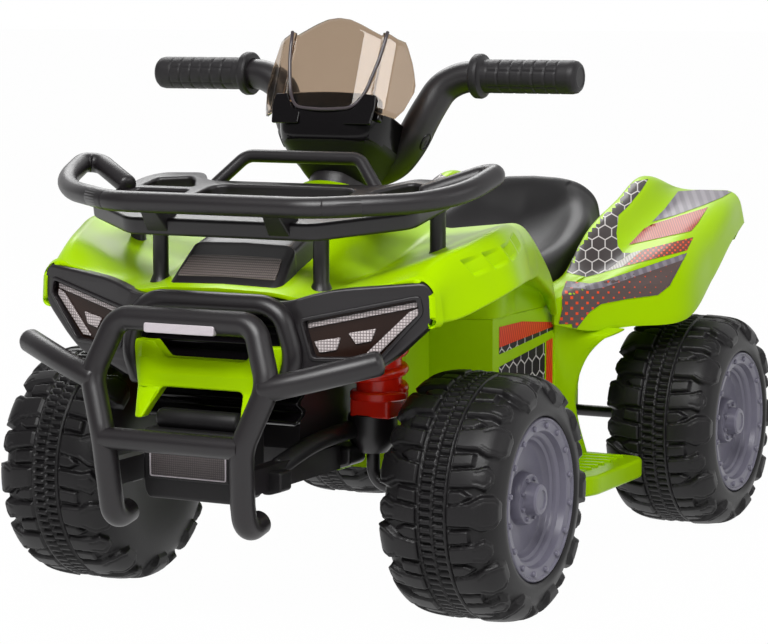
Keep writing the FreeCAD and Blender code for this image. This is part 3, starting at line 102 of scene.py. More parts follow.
class Paint:
    def __init__(self, name, tree=None, shader="Principled BSDF", **numbers):
        if tree is None:
            self.material = bpy.data.materials.new(name)
            self.material.use_nodes = True
            tree = self.material.node_tree
        self.tree = tree
        self.shader = tree.nodes[shader]
        self.give(**numbers)

    def node(self, kind, inputs=None, out=0, **settings):
        made = self.tree.nodes.new(kind)
        for key, value in settings.items():
            setattr(made, key, value)
        for key, value in (inputs or {}).items():
            self.feed(made.inputs[key], value)
        return Wire(self, made.outputs[out])

    def feed(self, socket, value):
        if isinstance(value, Wire):
            self.tree.links.new(value.socket, socket)
        elif isinstance(value, tuple) and len(value) == 3 and socket.type == "RGBA":
            socket.default_value = (*value, 1)
        else:
            socket.default_value = value

    def give(self, **values):
        for name, value in values.items():
            self.feed(self.shader.inputs[name.replace("_", " ")], value)

    def place(self, kind="Object"):
        return self.node("ShaderNodeTexCoord", out=kind)

    def axis(self, vector, name):
        return self.node("ShaderNodeSeparateXYZ", {0: vector}, name)

    def ray(self, kind):
        return self.node("ShaderNodeLightPath", out=f"Is {kind} Ray")

    def noise(self, scale, detail=3.0, rough=0.5):
        sizes = {"Vector": self.place(), "Scale": scale, "Detail": detail, "Roughness": rough}
        return self.node("ShaderNodeTexNoise", sizes, "Fac")

    def mix(self, share, first, second):
        return self.node("ShaderNodeMix", {0: share, 6: first, 7: second}, 2, data_type="RGBA")

    def bump(self, height, strength, distance=0.001):
        sizes = {"Height": height, "Strength": strength, "Distance": distance}
        self.give(Normal=self.node("ShaderNodeBump", sizes))


def shade(red, green, blue):   # screen colour to linear
    shares = (red / 255, green / 255, blue / 255)
    return tuple(((c + 0.055) / 1.055) ** 2.4 if c > 10 / 255 else c / 12.92 for c in shares)


# finishes

plastics = {
    "limePlastic": {"colour": (158, 202, 0), "second": (166, 210, 0), "rough": 0.3, "grain": 420.0,
                    "depth": 0.03, "gloss": 0.15, "tint": (235, 255, 120), "spread": 0.06},
    "grainedBlack": {"colour": (21, 18, 20), "second": (28, 24, 27), "rough": 0.38, "grain": 1300.0,
                     "depth": 0.12, "gloss": 0.62},
    "tyreBlack": {"colour": (13, 11, 13), "second": (20, 18, 20), "rough": 0.46, "grain": 700.0,
                  "depth": 0.14, "drift": 22.0, "spread": 0.16},
    "rimGrey": {"colour": (104, 102, 116), "second": (118, 115, 130), "rough": 0.34, "depth": 0.06,
                "drift": 14.0},
    "gripBlack": {"colour": (26, 24, 26), "second": (36, 34, 36), "rough": 0.5, "grain": 1500.0,
                  "depth": 0.2},
    "glossBlack": {"colour": (9, 7, 9), "second": (13, 11, 13), "rough": 0.14, "grain": 300.0, "depth": 0.02,
                   "gloss": 0.3},
    "redPlastic": {"colour": (205, 22, 4), "second": (222, 40, 10), "rough": 0.25, "grain": 500.0,
                   "depth": 0.04, "coat": 0.1},
    "seatBlack": {"colour": (15, 13, 15), "second": (20, 18, 20), "rough": 0.5, "grain": 1100.0,
                  "depth": 0.12},
    "gearWhite": {"colour": (214, 210, 200), "second": (228, 224, 214), "rough": 0.5},
    "trimGrey": {"colour": (58, 52, 56), "second": (72, 65, 69), "rough": 0.16, "coat": 0.3, "depth": 0.03},
}


def mouldedPlastic(name, look):
    paint = Paint(name, IOR=1.46, Specular_IOR_Level=look.get("gloss", 0.4),
                  Coat_Weight=look.get("coat", 0.0),
                  Specular_Tint=shade(*look.get("tint", (255, 255, 255))), Coat_Roughness=0.08)
    drift = paint.noise(look.get("drift", 9.0), 3.0)
    fine = paint.noise(look.get("grain", 900.0), 2.0, 0.6)
    paint.give(Base_Color=paint.mix(drift, shade(*look["colour"]), shade(*look["second"])),
               Roughness=look["rough"] + look.get("spread", 0.08) * (drift - 0.5) + 0.06 * (fine - 0.5))
    paint.bump(fine, look.get("depth", 0.08), 0.0004)
    return paint.material


def driftedSheet(name, noise, low, high, rough, spread, depth=0.0, **numbers):
    paint = Paint(name, **numbers)
    drift = paint.noise(*noise)   # colour and gloss drift together
    paint.give(Base_Color=paint.mix(drift, shade(*low), shade(*high)), Roughness=rough + spread * drift)
    if depth:
        paint.bump(drift, depth)
    return paint.material


def reflectorFilm(name, dark, pale, cell):   # fine ribs and rows, a cell given in metres
    paint = Paint(name, Metallic=0.25)
    place = paint.place()
    ribs, rows = [abs(paint.axis(place, way) / cell % 1.0 - 0.5) * 2 for way in "XZ"]
    bright = (ribs.least(rows) * 2.4).clip()
    paint.give(Base_Color=paint.mix(bright, shade(*dark), shade(*pale)), Roughness=0.25 + 0.25 * bright)
    paint.bump(ribs * rows, 0.5, 0.0004)
    return paint.material


(lime, black, tyreBlack, rimGrey, gripBlack, piano, red, seatBlack, gearWhite,
 trimGrey) = [mouldedPlastic(name, look) for name, look in plastics.items()]
steel = driftedSheet("platedSteel", (60.0, 5.0, 0.7), (150, 150, 152), (190, 190, 190), 0.28, 0.2, 0.05,
                     Metallic=1.0)
smoke = driftedSheet("smokedSheet", (30.0, 2.0), (158, 137, 116), (166, 145, 124), 0.02, 0.02,
                     Transmission_Weight=1.0, IOR=1.12, Coat_Weight=0.5, Coat_Roughness=0.03)
lens = driftedSheet("lampLens", (18.0, 2.0), (32, 20, 16), (46, 30, 24), 0.14, 0.08,
                    IOR=1.4, Specular_IOR_Level=0.2, Coat_Weight=0.08, Coat_Roughness=0.03)
silver = reflectorFilm("silverFilm", (190, 182, 188), (206, 198, 203), 0.0009)
ledFilm = reflectorFilm("ledFilm", (86, 74, 74), (216, 206, 206), 0.0021)
visorFilm = reflectorFilm("visorFilm", (44, 38, 38), (112, 102, 98), 0.0016)
plateFilm = reflectorFilm("plateFilm", (34, 30, 32), (92, 84, 84), 0.0016)
print("finishes made")


# mesh tools

def pieceOf(name, mesh, material, body="chassis", smooth=True, place=None):
    piece = bpy.data.objects.new(name, mesh)
    scene.collection.objects.link(piece)
    mesh.materials.clear()
    mesh.materials.append(material)
    if smooth:
        mesh.shade_smooth()
    if place is not None:
        piece.matrix_world = place
    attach(piece, body)
    return piece


def newPiece(name, points, faces, material, body="chassis", smooth=True):
    mesh = bpy.data.meshes.new(name)
    mesh.from_pydata([tuple(p) for p in points], [], faces)
    mesh.update()
    return pieceOf(name, mesh, material, body, smooth)


def gridFaces(rows, columns, closeRows=False, closeColumns=False):
    faces = []
    for i in range(rows if closeRows else rows - 1):
        for j in range(columns if closeColumns else columns - 1):
            here, there, k = i * columns, (i + 1) % rows * columns, (j + 1) % columns
            faces.append((here + j, here + k, there + k, there + j))
    return faces


def turned(faces):
    return [face[::-1] for face in faces]


def gridPiece(name, rows, material, body="chassis", flip=False, closeColumns=False):
    faces = gridFaces(len(rows), len(rows[0]), closeColumns=closeColumns)
    return newPiece(name, [p for row in rows for p in row], turned(faces) if flip else faces, material, body)


def prism(low, high, material, flip=False):   # two matching outlines closed into a cutter
    count = len(low)
    faces = [(i, (i + 1) % count, count + (i + 1) % count, count + i) for i in range(count)]
    faces += [tuple(range(count))[::-1], tuple(range(count, 2 * count))]
    return newPiece("cutter", low + high, turned(faces) if flip else faces, material, smooth=False)


def circle(radius, count):
    return [(radius * cos(2 * pi * i / count), radius * sin(2 * pi * i / count)) for i in range(count)]


def edited(mesh, change):
    work = bmesh.new()
    work.from_mesh(mesh)
    change(work)
    work.to_mesh(mesh)
    work.free()


def outward(work):
    bmesh.ops.recalc_face_normals(work, faces=work.faces)


def bisected(work, place, axis):
    bmesh.ops.bisect_plane(work, geom=work.verts[:] + work.edges[:] + work.faces[:], plane_co=place,
                           plane_no=axis)


def sharpen(piece, degrees):
    def mark(work):
        for edge in work.edges:
            edge.smooth = len(edge.link_faces) == 2 and edge.calc_face_angle(0.0) < radians(degrees)

    edited(piece.data, mark)


def modifier(piece, kind, **settings):
    made = piece.modifiers.new(kind.lower(), kind)
    for key, value in settings.items():
        setattr(made, key, value)


def bevel(piece, width, degrees, segments=2, harden=False):
    modifier(piece, "BEVEL", width=width, segments=segments, limit_method="ANGLE",
             angle_limit=radians(degrees), harden_normals=harden)


def evaluated(piece):   # a mesh with the modifiers in it
    return bpy.data.meshes.new_from_object(piece.evaluated_get(bpy.context.evaluated_depsgraph_get()))


def joined(name, pieces):   # several meshes as one piece
    work = bmesh.new()
    for piece in pieces:
        copy = piece.data.copy()
        copy.transform(piece.matrix_basis)
        work.from_mesh(copy)
        bpy.data.meshes.remove(copy)
    whole = bpy.data.meshes.new(name)
    work.to_mesh(whole)
    work.free()
    first = pieces[0]
    whole.materials.append(first.data.materials[0])
    first.data = whole
    first.matrix_basis = Matrix.Identity(4)
    first.name = name
    for piece in pieces[1:]:
        bpy.data.objects.remove(piece)
    return first


def carve(piece, cutters):
    cutter = joined("cutter", cutters)
    modifier(piece, "BOOLEAN", object=cutter, operation="DIFFERENCE", solver="EXACT")
    mesh = evaluated(piece)
    piece.modifiers.clear()
    piece.data = mesh
    bpy.data.objects.remove(cutter)


def corner(before, point, after, reach, limit, steps):   # a bend eased by a curve
    back, ahead = before - point, after - point
    reach = min(reach, back.length * limit, ahead.length * limit)
    start, end = point + back.normalized() * reach, point + ahead.normalized() * reach
    shares = [i / steps for i in range(steps + 1)]
    return [start * (1 - t) ** 2 + point * 2 * t * (1 - t) + end * t ** 2 for t in shares]


def roundedLine(points, radii, cornerSteps, runSteps):   # a polyline with its corners eased, in a fixed count
    bends = [[points[0]]]
    for i in range(1, len(points) - 1):
        bends.append(corner(points[i - 1], points[i], points[i + 1], radii[i], 0.49, cornerSteps))
    bends.append([points[-1]])
    line = []
    for bend, following in zip(bends, bends[1:]):
        line += bend + [bend[-1].lerp(following[0], step / runSteps) for step in range(1, runSteps)]
    return line + bends[-1]


def eased(points, radii, steps=6):   # an open path with its bends rounded
    path = [points[0]]
    for i in range(1, len(points) - 1):
        path += corner(points[i - 1], points[i], points[i + 1], radii[i], 0.49, steps)
    return path + [points[-1]]


def roundedLoop(points, radii, steps=5):   # a closed outline with its corners eased
    corners = [Vector(p).to_2d() for p in points]
    loop = []
    for i, point in enumerate(corners):
        reach = radii if isinstance(radii, (int, float)) else radii[i]
        following = corners[(i + 1) % len(corners)]
        loop += corner(corners[i - 1], point, following, reach, 0.48, steps) if reach > 0 else [point]
    return loop


def curved(rows, steps):   # smooth rows between the stations, each row passing through its station
    out = []
    last = len(rows) - 1
    for i in range(last):
        a, b, c, d = rows[max(i - 1, 0)], rows[i], rows[i + 1], rows[min(i + 2, last)]
        first, second = 0.5 if i > 0 else 1.0, 0.5 if i < last - 1 else 1.0
        for t in (step / steps for step in range(steps)):
            h00, h10 = 2 * t ** 3 - 3 * t ** 2 + 1, (t ** 3 - 2 * t ** 2 + t) * first
            h01, h11 = -2 * t ** 3 + 3 * t ** 2, (t ** 3 - t ** 2) * second
            row = zip(a, b, c, d)
            out.append([p1 * h00 + (p2 - p0) * h10 + p2 * h01 + (p3 - p1) * h11 for p0, p1, p2, p3 in row])
    return out + [rows[-1]]


def flipped(points):
    return [Vector((-p.x, p.y, p.z)) for p in points]


def skin(name, rows, radii, material, wall, steps, cornerSteps, runSteps):
    halves = [roundedLine(row, radii, cornerSteps, runSteps) for row in rows]
    piece = gridPiece(name, [flipped(half[:0:-1]) + half for half in curved(halves, steps)], material)
    modifier(piece, "SOLIDIFY", thickness=wall, offset=-1, use_even_offset=False)
    return piece


def turnedMesh(name, profile, steps, material):   # profile of (x, radius) about the X axis
    points = []
    for i in range(steps):
        angle = 2 * pi * i / steps
        points += [(x, r * cos(angle), r * sin(angle)) for x, r in profile]
    return newPiece(name, points, gridFaces(steps, len(profile), closeRows=True), material)


def standingTurn(name, profile, x, material):   # profile of (height, radius) over the front axle
    piece = turnedMesh(name, profile, 48, material)
    piece.data.transform(Matrix.Translation((x, frontAxle, 0)) @ Matrix.Rotation(-pi / 2, 4, "Y"))
    sharpen(piece, 35)
    return piece


def mirroredLoop(half):   # right half from top middle to bottom middle, closed on the left
    return list(half) + [(-x, y) for x, y in reversed(half) if abs(x) > 1e-6]


def mirroredRadii(radii):
    return radii + radii[-2:0:-1]


def flippedLoop(loop):
    return [(-p[0], p[1]) for p in reversed(loop)]


def upright(place, side=1, depth=-1):   # bends an outline of width and height onto a plane across the body
    return lambda x, h, out: bodyPoint(side * x, place + depth * out, h)


def level(height, side=1):   # bends an outline of width and length onto a level plane
    return lambda x, v, out: bodyPoint(side * x, v, height + out)


def cutout(name, loops, low, high, ease, bend, material, body="chassis", seams=(), levels=()):
    curve = bpy.data.curves.new(name, "CURVE")   # flat outlines given depth, eased and bent
    curve.dimensions = "2D"
    curve.fill_mode = "BOTH"
    curve.extrude = ((high - low) / 2 - ease) / 1000
    curve.bevel_depth = ease / 1000
    curve.bevel_resolution = 2
    curve.offset = -ease / 1000
    for loop in loops:
        spline = curve.splines.new("POLY")
        spline.points.add(len(loop) - 1)
        for point, place in zip(spline.points, loop):
            point.co = (place[0] / 1000, place[1] / 1000, 0, 1)
        spline.use_cyclic_u = True
    holder = bpy.data.objects.new(name + "Curve", curve)
    scene.collection.objects.link(holder)
    mesh = evaluated(holder)
    bpy.data.objects.remove(holder)
    bpy.data.curves.remove(curve)

    def shape(work):
        bmesh.ops.remove_doubles(work, verts=work.verts, dist=1e-6)
        for seam in seams:
            bisected(work, (seam / 1000, 0, 0), (1, 0, 0))
        for line in levels:
            bisected(work, (0, line / 1000, 0), (0, 1, 0))
        for vert in work.verts:
            vert.co = bend(vert.co.x * 1000, vert.co.y * 1000, vert.co.z * 1000 + (low + high) / 2)
        outward(work)

    edited(mesh, shape)
    mesh.name = name
    piece = pieceOf(name, mesh, material, body)
    sharpen(piece, 38)
    modifier(piece, "WEIGHTED_NORMAL", keep_sharp=True, weight=90)
    return piece


capRings = [(1.0, 0.05), (0.88, 0.55), (0.6, 0.86)]   # share of the dome and of the radius at a tube's end


def tube(name, path, radius, material, body="chassis", around=20, flatten=1.0, closed=False):
    count = len(path)
    side = None
    rings = []
    for i, place in enumerate(path):
        following = path[(i + 1) % count] if closed or i < count - 1 else place
        ahead = (following - (path[i - 1] if closed or i > 0 else place)).normalized()
        side = ahead.orthogonal().normalized() if side is None else side
        side = (side - ahead * side.dot(ahead)).normalized()
        rings.append((place, ahead, side, radius(i / (count - 1)) if callable(radius) else radius))
    if not closed:
        first, last = rings[0], rings[-1]
        dome = first[3] / 2
        head = [(first[0] - first[1] * dome * a, first[1], first[2], first[3] * b) for a, b in capRings]
        foot = [(last[0] + last[1] * dome * a, last[1], last[2], last[3] * b) for a, b in reversed(capRings)]
        rings = head + rings + foot
    points = []
    for place, ahead, side, size in rings:
        up = ahead.cross(side)
        points += [place + side * a + up * (flatten * b) for a, b in circle(size, around)]
    faces = gridFaces(len(rings), around, closeRows=closed, closeColumns=True)
    if not closed:
        faces += [tuple(range(around))[::-1], tuple(range(len(points) - around, len(points)))]
    return newPiece(name, points, faces, material, body)


# tyres: a carcass with a ladder band and four kinds of lug, raised as one field

tyreSizes = {
    "around": 560, "lugs": 10, "crown": 87.0, "lug": 5.0, "soft": 1.76, "half": 47.5, "lean": 0.12,
    "profile": [(-43.0, 13), (-44.5, 30), (-46.6, 46), (-47.5, 58), (-46.4, 68), (-43.4, 76.5), (-37.5, 83.0),
                (-28, 86.0), (-14, 87.0), (0, 87.3), (14, 87.0), (28, 86.0), (37.5, 83.0), (43.4, 76.5),
                (46.4, 68.5), (46.9, 64.2), (46.0, 61.8), (43.5, 60.9), (39.8, 60.8)],
    "kinds": [   # corners along and out from the middle, share of the pitch, height, groove
        ([(-7, 12.6), (7, 12.6), (8.5, 29), (12.5, 36), (12.5, 45), (6.5, 52), (-6.5, 52), (-12.5, 45),
          (-12.5, 36), (-8.5, 29)], 0.0, 1.0, 0.9),
        ([(-4.6, 12.6), (4.6, 12.6), (4.6, 28), (-4.6, 28)], 0.29, 0.8, 0.0),
        ([(-6, 12.6), (6, 12.6), (6.6, 32), (9, 38), (3, 43), (-3, 43), (-9, 38), (-6.6, 32)], 0.53, 0.95,
         0.9),
        ([(-4.4, 12.6), (4.4, 12.6), (4.4, 22), (0, 29), (-4.4, 22)], 0.77, 0.8, 0.0)],
    "ribs": [(10.4, 1.9, 4.5), (-10.4, 1.9, 4.5), (0.0, 1.5, 4.0)],   # place, width, height
    "rungs": [(5.2, 0.0), (-5.2, 0.5)], "rungHalf": (4.4, 1.75), "rungHeight": 3.6, "rungsPerPitch": 9,
}


def softStep(distance, soft):   # 1 inside, 0 outside, eased over the edge
    return np.clip(0.5 - distance / soft, 0, 1)


def polygonDistance(across, along, corners):   # below nothing inside
    distance = np.full(across.shape, 1e9)
    inside = np.zeros(across.shape, bool)
    for (ax, ay), (bx, by) in zip(corners, corners[1:] + corners[:1]):
        ex, ey = bx - ax, by - ay
        t = np.clip(((across - ax) * ex + (along - ay) * ey) / (ex * ex + ey * ey), 0, 1)
        distance = np.minimum(distance, np.hypot(across - ax - ex * t, along - ay - ey * t))
        inside ^= ((ay > along) != (by > along)) & (across < ex * (along - ay) / (by - ay + 1e-12) + ax)
    return np.where(inside, -distance, distance)


def tyreMesh():
    sizes = tyreSizes
    line = [row[0] for row in curved([[Vector((x, r, 0))] for x, r in sizes["profile"]], 6)]
    lengths = np.cumsum([0] + [(b - a).length for a, b in zip(line, line[1:])])
    middle = np.interp(0.0, [p.x for p in line], lengths)
    fine = np.unique(np.concatenate([np.linspace(0, lengths[-1], 70),
                                     np.arange(middle - 54, middle + 54, 1.25)]))
    xs, rs = (np.interp(fine, lengths, [p[i] for p in line]) for i in (0, 1))
    tangentX, tangentR = np.gradient(xs, fine), np.gradient(rs, fine)
    scale = np.hypot(tangentX, tangentR)
    around, crown = sizes["around"], sizes["crown"]
    turn = (np.arange(around) * 2 * np.pi / around)[:, None]
    pitch = 2 * np.pi * crown / sizes["lugs"]
    s = np.broadcast_to(fine - middle, (around, len(fine)))
    raised = np.zeros(s.shape)
    for sign, phase in ((1, 0.0), (-1, 0.5)):
        for corners, share, height, cut in sizes["kinds"]:
            t = turn * crown + sizes["lean"] * (sign * s - 12) - (share + phase) * pitch
            t = (t + pitch / 2) % pitch - pitch / 2
            signed = polygonDistance(t, sign * s, corners)
            groove = np.exp(-((signed + 3.2) / 0.55) ** 2) * cut * (sign * s > 30)
            raised = np.maximum(raised, softStep(signed, sizes["soft"]) * height * sizes["lug"] - groove)
    for place, width, height in sizes["ribs"]:
        raised = np.maximum(raised, softStep(abs(s - place) - width / 2, 0.9) * height)
    rung = pitch / sizes["rungsPerPitch"]
    wide, thick = sizes["rungHalf"]
    for place, shift in sizes["rungs"]:
        t = (turn * crown + shift * rung) % rung - rung / 2
        inRow = softStep(abs(s - place) - wide, 0.9)
        raised = np.maximum(raised, inRow * softStep(abs(t) - thick, 1.0) * sizes["rungHeight"])
    x = np.clip(xs - tangentR / scale * raised, -sizes["half"], sizes["half"])
    r = np.minimum(rs + tangentX / scale * raised, crown + sizes["lug"])
    points = np.stack([x, r * np.cos(turn), r * np.sin(turn)], -1).reshape(-1, 3) / 1000
    mesh = bpy.data.meshes.new("tyreTread")
    mesh.from_pydata(points.tolist(), [], gridFaces(around, len(fine), closeRows=True))
    mesh.shade_smooth()
    return mesh


halfTrack = 0.1645
wheels = {f"{end}_{name}": (side, axle) for end, axle in (("front", frontAxle), ("rear", rearAxle))
          for name, side in sides.items()}


def wheelPieces(name, mesh, material, node):   # one mesh on all four wheels
    for where, (side, axle) in wheels.items():
        turn = Matrix.Rotation(0 if side > 0 else pi, 4, "Z")
        place = Matrix.Translation((side * halfTrack, axle, axleHeight)) @ turn
        piece = pieceOf(f"{name}_{where}", mesh, material, f"wheel_{where}", False, place)
        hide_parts(f"{node}_{where}")


wheelPieces("tyreTread", tyreMesh(), tyreBlack, "tyre")
print("tyres made")


# rims: flange with bolts, stepped dish, windows, hub with its cap

rimSizes = {
    "windows": 7, "windowRing": 34.0, "windowHalf": (6.6, 8.6), "windowFlare": 0.16, "windowDepth": (15, 40),
    "bolts": [(54.5, 16, 2.3, 43.6, 46.6), (15.2, 8, 1.9, 36.0, 38.8)],   # ring, count, radius, low, high
    "profile": [(24.5, 5.1), (24.5, 24), (26.5, 47), (38.6, 50), (39.4, 60.6), (44.6, 60.5), (45.6, 59.8),
                (46.0, 58.8), (44.9, 57.9), (44.4, 57.4), (44.3, 52.4), (43.6, 50.6), (39.0, 49.2),
                (37.6, 46.6), (37.2, 46.2), (34.6, 45.4), (33.2, 43.4), (30.0, 42.2), (28.6, 40.6),
                (28.3, 22.0), (28.9, 20.2), (35.6, 19.0), (36.6, 18.2), (36.8, 12.6), (37.6, 12.2),
                (44.6, 11.4), (46.0, 10.2), (46.2, 7.6), (45.2, 7.0), (45.0, 0.01)],
}


def rimWindow(angle):   # an egg-shaped cutter
    sizes = rimSizes
    high, wide = sizes["windowHalf"]
    rings = []
    for x in sizes["windowDepth"]:
        ring = []
        for c, s in circle(1, 24):
            out, along = sizes["windowRing"] + high * s, wide * c * (1 + sizes["windowFlare"] * s)
            y, z = out * cos(angle) - along * sin(angle), out * sin(angle) + along * cos(angle)
            ring.append((x / 1000, y / 1000, z / 1000))
        rings.append(ring)
    return prism(*rings, rimGrey)


def rimMesh():
    dish = turnedMesh("rimDish", [(x / 1000, r / 1000) for x, r in rimSizes["profile"]], 112, rimGrey)

    def close(work):
        bmesh.ops.remove_doubles(work, verts=work.verts, dist=2e-5)
        bmesh.ops.holes_fill(work, edges=[e for e in work.edges if e.is_boundary])
        outward(work)

    edited(dish.data, close)
    count = rimSizes["windows"]
    carve(dish, [rimWindow(2 * pi * i / count) for i in range(count)])
    heads = [dish]
    for ring, count, radius, low, high in rimSizes["bolts"]:
        line = [(low, radius), (high - 1.0, radius), (high - 0.3, radius * 0.8), (high, radius * 0.45),
                (high, 0.02)]
        for i in range(count):
            angle = 2 * pi * (i + 0.5) / count
            bolt = turnedMesh("rimBolt", [(x / 1000, r / 1000) for x, r in line], 10, rimGrey)
            bolt.data.transform(Matrix.Translation((0, ring * cos(angle) / 1000, ring * sin(angle) / 1000)))
            heads.append(bolt)
    whole = joined("rimFace", heads)
    sharpen(whole, 34)
    mesh = whole.data
    bpy.data.objects.remove(whole)
    return mesh


wheelPieces("rimFace", rimMesh(), rimGrey, "rim")
print("rims made")


# front fairing: one moulded skin from the mask back to the seat, with flared fenders

fairingSizes = {
    "wall": 0.003, "maskBack": -107.0, "sweep": 0.3, "flatHalf": 70, "seatHalf": 89, "seatFront": 187.0,
    "seatFloor": 42, "skirtFoot": 21.3, "lip": (6, 8), "edge": 0.0009,
    "radii": [0, 16, 14, 3, 4, 14, 2.5, 1.5, 6, 0],
    "stations": [   # distance behind the axle, foot of the skirt, outline
        (-118, 70, [(0, 60), (48, 59), (66, 58.5), (150, 75), (161, 68), (161, 42)]),
        (-84, 62, [(0, 70.5), (48, 69), (70, 60.5), (152, 74.5), (162.5, 67), (164, 43)]),
        (-60, 50, [(0, 78), (48, 76), (74, 63), (159, 90), (168, 77), (174, 45)]),
        (-28, 50, [(0, 88.5), (48, 85), (80, 68), (169, 99), (178, 86), (186, 55)]),
        (0, 50, [(0, 99), (48, 94), (83, 73), (174, 106), (183, 92), (192, 63)]),
        (40, 58, [(0, 106.4), (47, 101.4), (82, 82), (166, 107), (175, 93), (183, 64)]),
        (70, 64, [(0, 112), (46, 107), (79, 89), (157, 103), (166, 88), (171, 61)]),
        (110, 64, [(0, 112), (46, 107), (73, 93), (143, 101), (154, 84), (157, 59)]),
        (141, 105, [(0, 100), (46, 97), (72, 89), (131, 97.5), (143, 79), (145, 55)]),
        (187, 105, [(0, 80), (50, 76), (74, 70), (119, 82), (129, 64), (134, 41)]),
        (225, 105, [(0, 61), (58, 59), (78, 56), (111, 60), (119, 48), (122, 30)]),
        (245, 105, [(0, 50), (60, 48), (80, 46), (104, 44), (111, 36), (116, 14)]),
    ],
}


def fairingPoint(column, v):   # an outline point straight between the stations
    stations = fairingSizes["stations"]
    return [np.interp(v, [s[0] for s in stations], [s[2][column][i] for s in stations]) for i in (0, 1)]


def fairingRow(places, foot):
    corners = [(x, v, h) for v, (x, h) in ((v, fairingPoint(i, v)) for i, v in enumerate(places))]
    inner, ridge = corners[2], corners[3]
    share = (fairingSizes["seatHalf"] - inner[0]) / (ridge[0] - inner[0])
    seatEdge = tuple(a + (b - a) * share for a, b in zip(inner, ridge))
    x, v, h = corners[5]
    inset, rise = fairingSizes["lip"]
    under = [(x - inset, v, h), (foot, v, h + rise), (foot, v, fairingSizes["skirtFoot"])]
    return [bodyPoint(*p) for p in corners[:3] + [seatEdge] + corners[3:] + under]


ventSizes = {"count": 4, "upper": [(-50, 86), (32, 102)], "lower": [(-42, 74), (46, 91)], "depth": 5.0,
             "inner": 150, "cuts": 4, "slant": (0.82, 0.57)}


def ventPlace(point):   # shares along the crest and down from its upper line
    (v0, h0), (v1, h1) = ventSizes["upper"]
    (v2, h2), (v3, h3) = ventSizes["lower"]
    v, h = (point.y - frontAxle) * 1000, (point.z - archLine) * 1000
    high, low = h0 + (h1 - h0) * (v - v0) / (v1 - v0), h2 + (h3 - h2) * (v - v2) / (v3 - v2)
    across = (high - h) / (high - low)
    return (v - v0 - (v2 - v0) * across) / (v1 - v0), across


def fenderVents(work):   # a row of scoops sunk into the outer crest of each fender
    sizes = ventSizes
    chosen = set()
    for face in work.faces:
        middle = face.calc_center_median()
        along, across = ventPlace(middle)
        if abs(middle.x) * 1000 > sizes["inner"] and -0.08 < along < 1.08 and -0.3 < across < 1.3:
            chosen.update(face.edges)
    edges = sorted(chosen, key=lambda edge: edge.index)
    bmesh.ops.subdivide_edges(work, edges=edges, cuts=sizes["cuts"], use_grid_fill=True)
    side, down = sizes["slant"]
    for vert in work.verts:
        along, across = ventPlace(vert.co)
        if abs(vert.co.x) * 1000 < sizes["inner"] or not (0 < across < 1 and 0 < along < 1):
            continue
        saw = (along * sizes["count"]) % 1.0
        sunk = min(1.0, across * 6, (1 - across) * 4) * min(1.0, saw * 12) * max(0.0, 1 - saw * 1.12)
        vert.co += Vector((-side if vert.co.x > 0 else side, 0, -down)) * sizes["depth"] * sunk / 1000


def seatRoom(work):   # the opening that the seat stands in
    sizes = fairingSizes
    edge = bodyPoint(sizes["seatHalf"] - 0.5, sizes["seatFront"] - 0.5, sizes["seatFloor"])
    middles = [(face, face.calc_center_median()) for face in work.faces]
    gone = [face for face, p in middles if abs(p.x) < edge.x and p.y > edge.y and p.z > edge.z]
    bmesh.ops.delete(work, geom=gone, context="FACES")


def frontFairing():
    sizes = fairingSizes
    front = [sizes["maskBack"]] * 6
    for i in range(6):
        for step in range(4):   # settles where the outline meets the mask
            beside = max(0.0, fairingPoint(i, front[i])[0] - sizes["flatHalf"])
            front[i] = sizes["maskBack"] + sizes["sweep"] * beside
    first, *others = sizes["stations"]
    rows = [fairingRow(front, first[1])] + [fairingRow([v] * 6, foot) for v, foot, _ in others]
    piece = skin("fairingSkin", rows, sizes["radii"], lime, sizes["wall"], 18, 8, 6)
    edited(piece.data, fenderVents)
    piece.data.shade_smooth()
    edited(piece.data, seatRoom)
    bevel(piece, sizes["edge"], 50)
    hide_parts("front_fairing")


frontFairing()
print("front fairing made")


# rear fairing: spine beside the seat, valley, outer wing and the flared side

tailSizes = {
    "wall": 0.003, "radii": [0, 3, 5, 6, 10, 7, 0], "edge": 0.0009, "tuck": (0.97, 0.015, 0.012),
    "tuckTop": 70,
    "stations": [
        (248, [(0, 24.5), (85, 24.5), (89, 30), (101, 31), (109, 28), (112, 26), (111, 6)]),
        (284, [(0, 24.5), (85, 24.5), (89, 36), (102, 37), (113, 34), (127, 34), (129, -2)]),
        (320, [(0, 24.5), (85, 24.5), (89, 45), (103, 46), (116, 41), (147, 43), (150, -1)]),
        (369, [(0, 24.5), (85, 24.5), (89, 78), (104, 76), (119, 58), (178, 60), (181, 2)]),
        (430, [(0, 38), (85, 38), (89, 99), (105, 98), (120, 77), (180, 79), (182, 31)]),
        (483, [(0, 50), (84, 52), (89, 116), (105, 115), (120, 92), (177, 94), (179.5, 59)]),
        (532, [(0, 62), (84, 64), (89, 102), (104, 104), (118, 101), (168, 102), (174, 73)]),
    ],
}


def stationRows(stations):
    return [[bodyPoint(x, v, h) for x, h in line] for v, line in stations]


def rearFairing():
    sizes = tailSizes
    rows = stationRows(sizes["stations"])
    piece = skin("tailSkin", rows, sizes["radii"], lime, sizes["wall"], 14, 6, 5)
    columns = len(roundedLine(rows[0], sizes["radii"], 6, 5)) * 2 - 1
    narrow, back, down = sizes["tuck"]
    top = bodyPoint(0, 0, sizes["tuckTop"]).z

    def close(work):   # a wall tucked in under the last row
        work.verts.ensure_lookup_table()
        last = work.verts[-columns:]
        drop = [work.verts.new((v.co.x * narrow, v.co.y - back, min(v.co.z, top) - down)) for v in last]
        for i in range(columns - 1):
            work.faces.new((last[i], last[i + 1], drop[i + 1], drop[i]))
        outward(work)

    edited(piece.data, close)
    piece.data.shade_smooth()
    bevel(piece, sizes["edge"], 50)
    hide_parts("rear_fairing")
    return piece


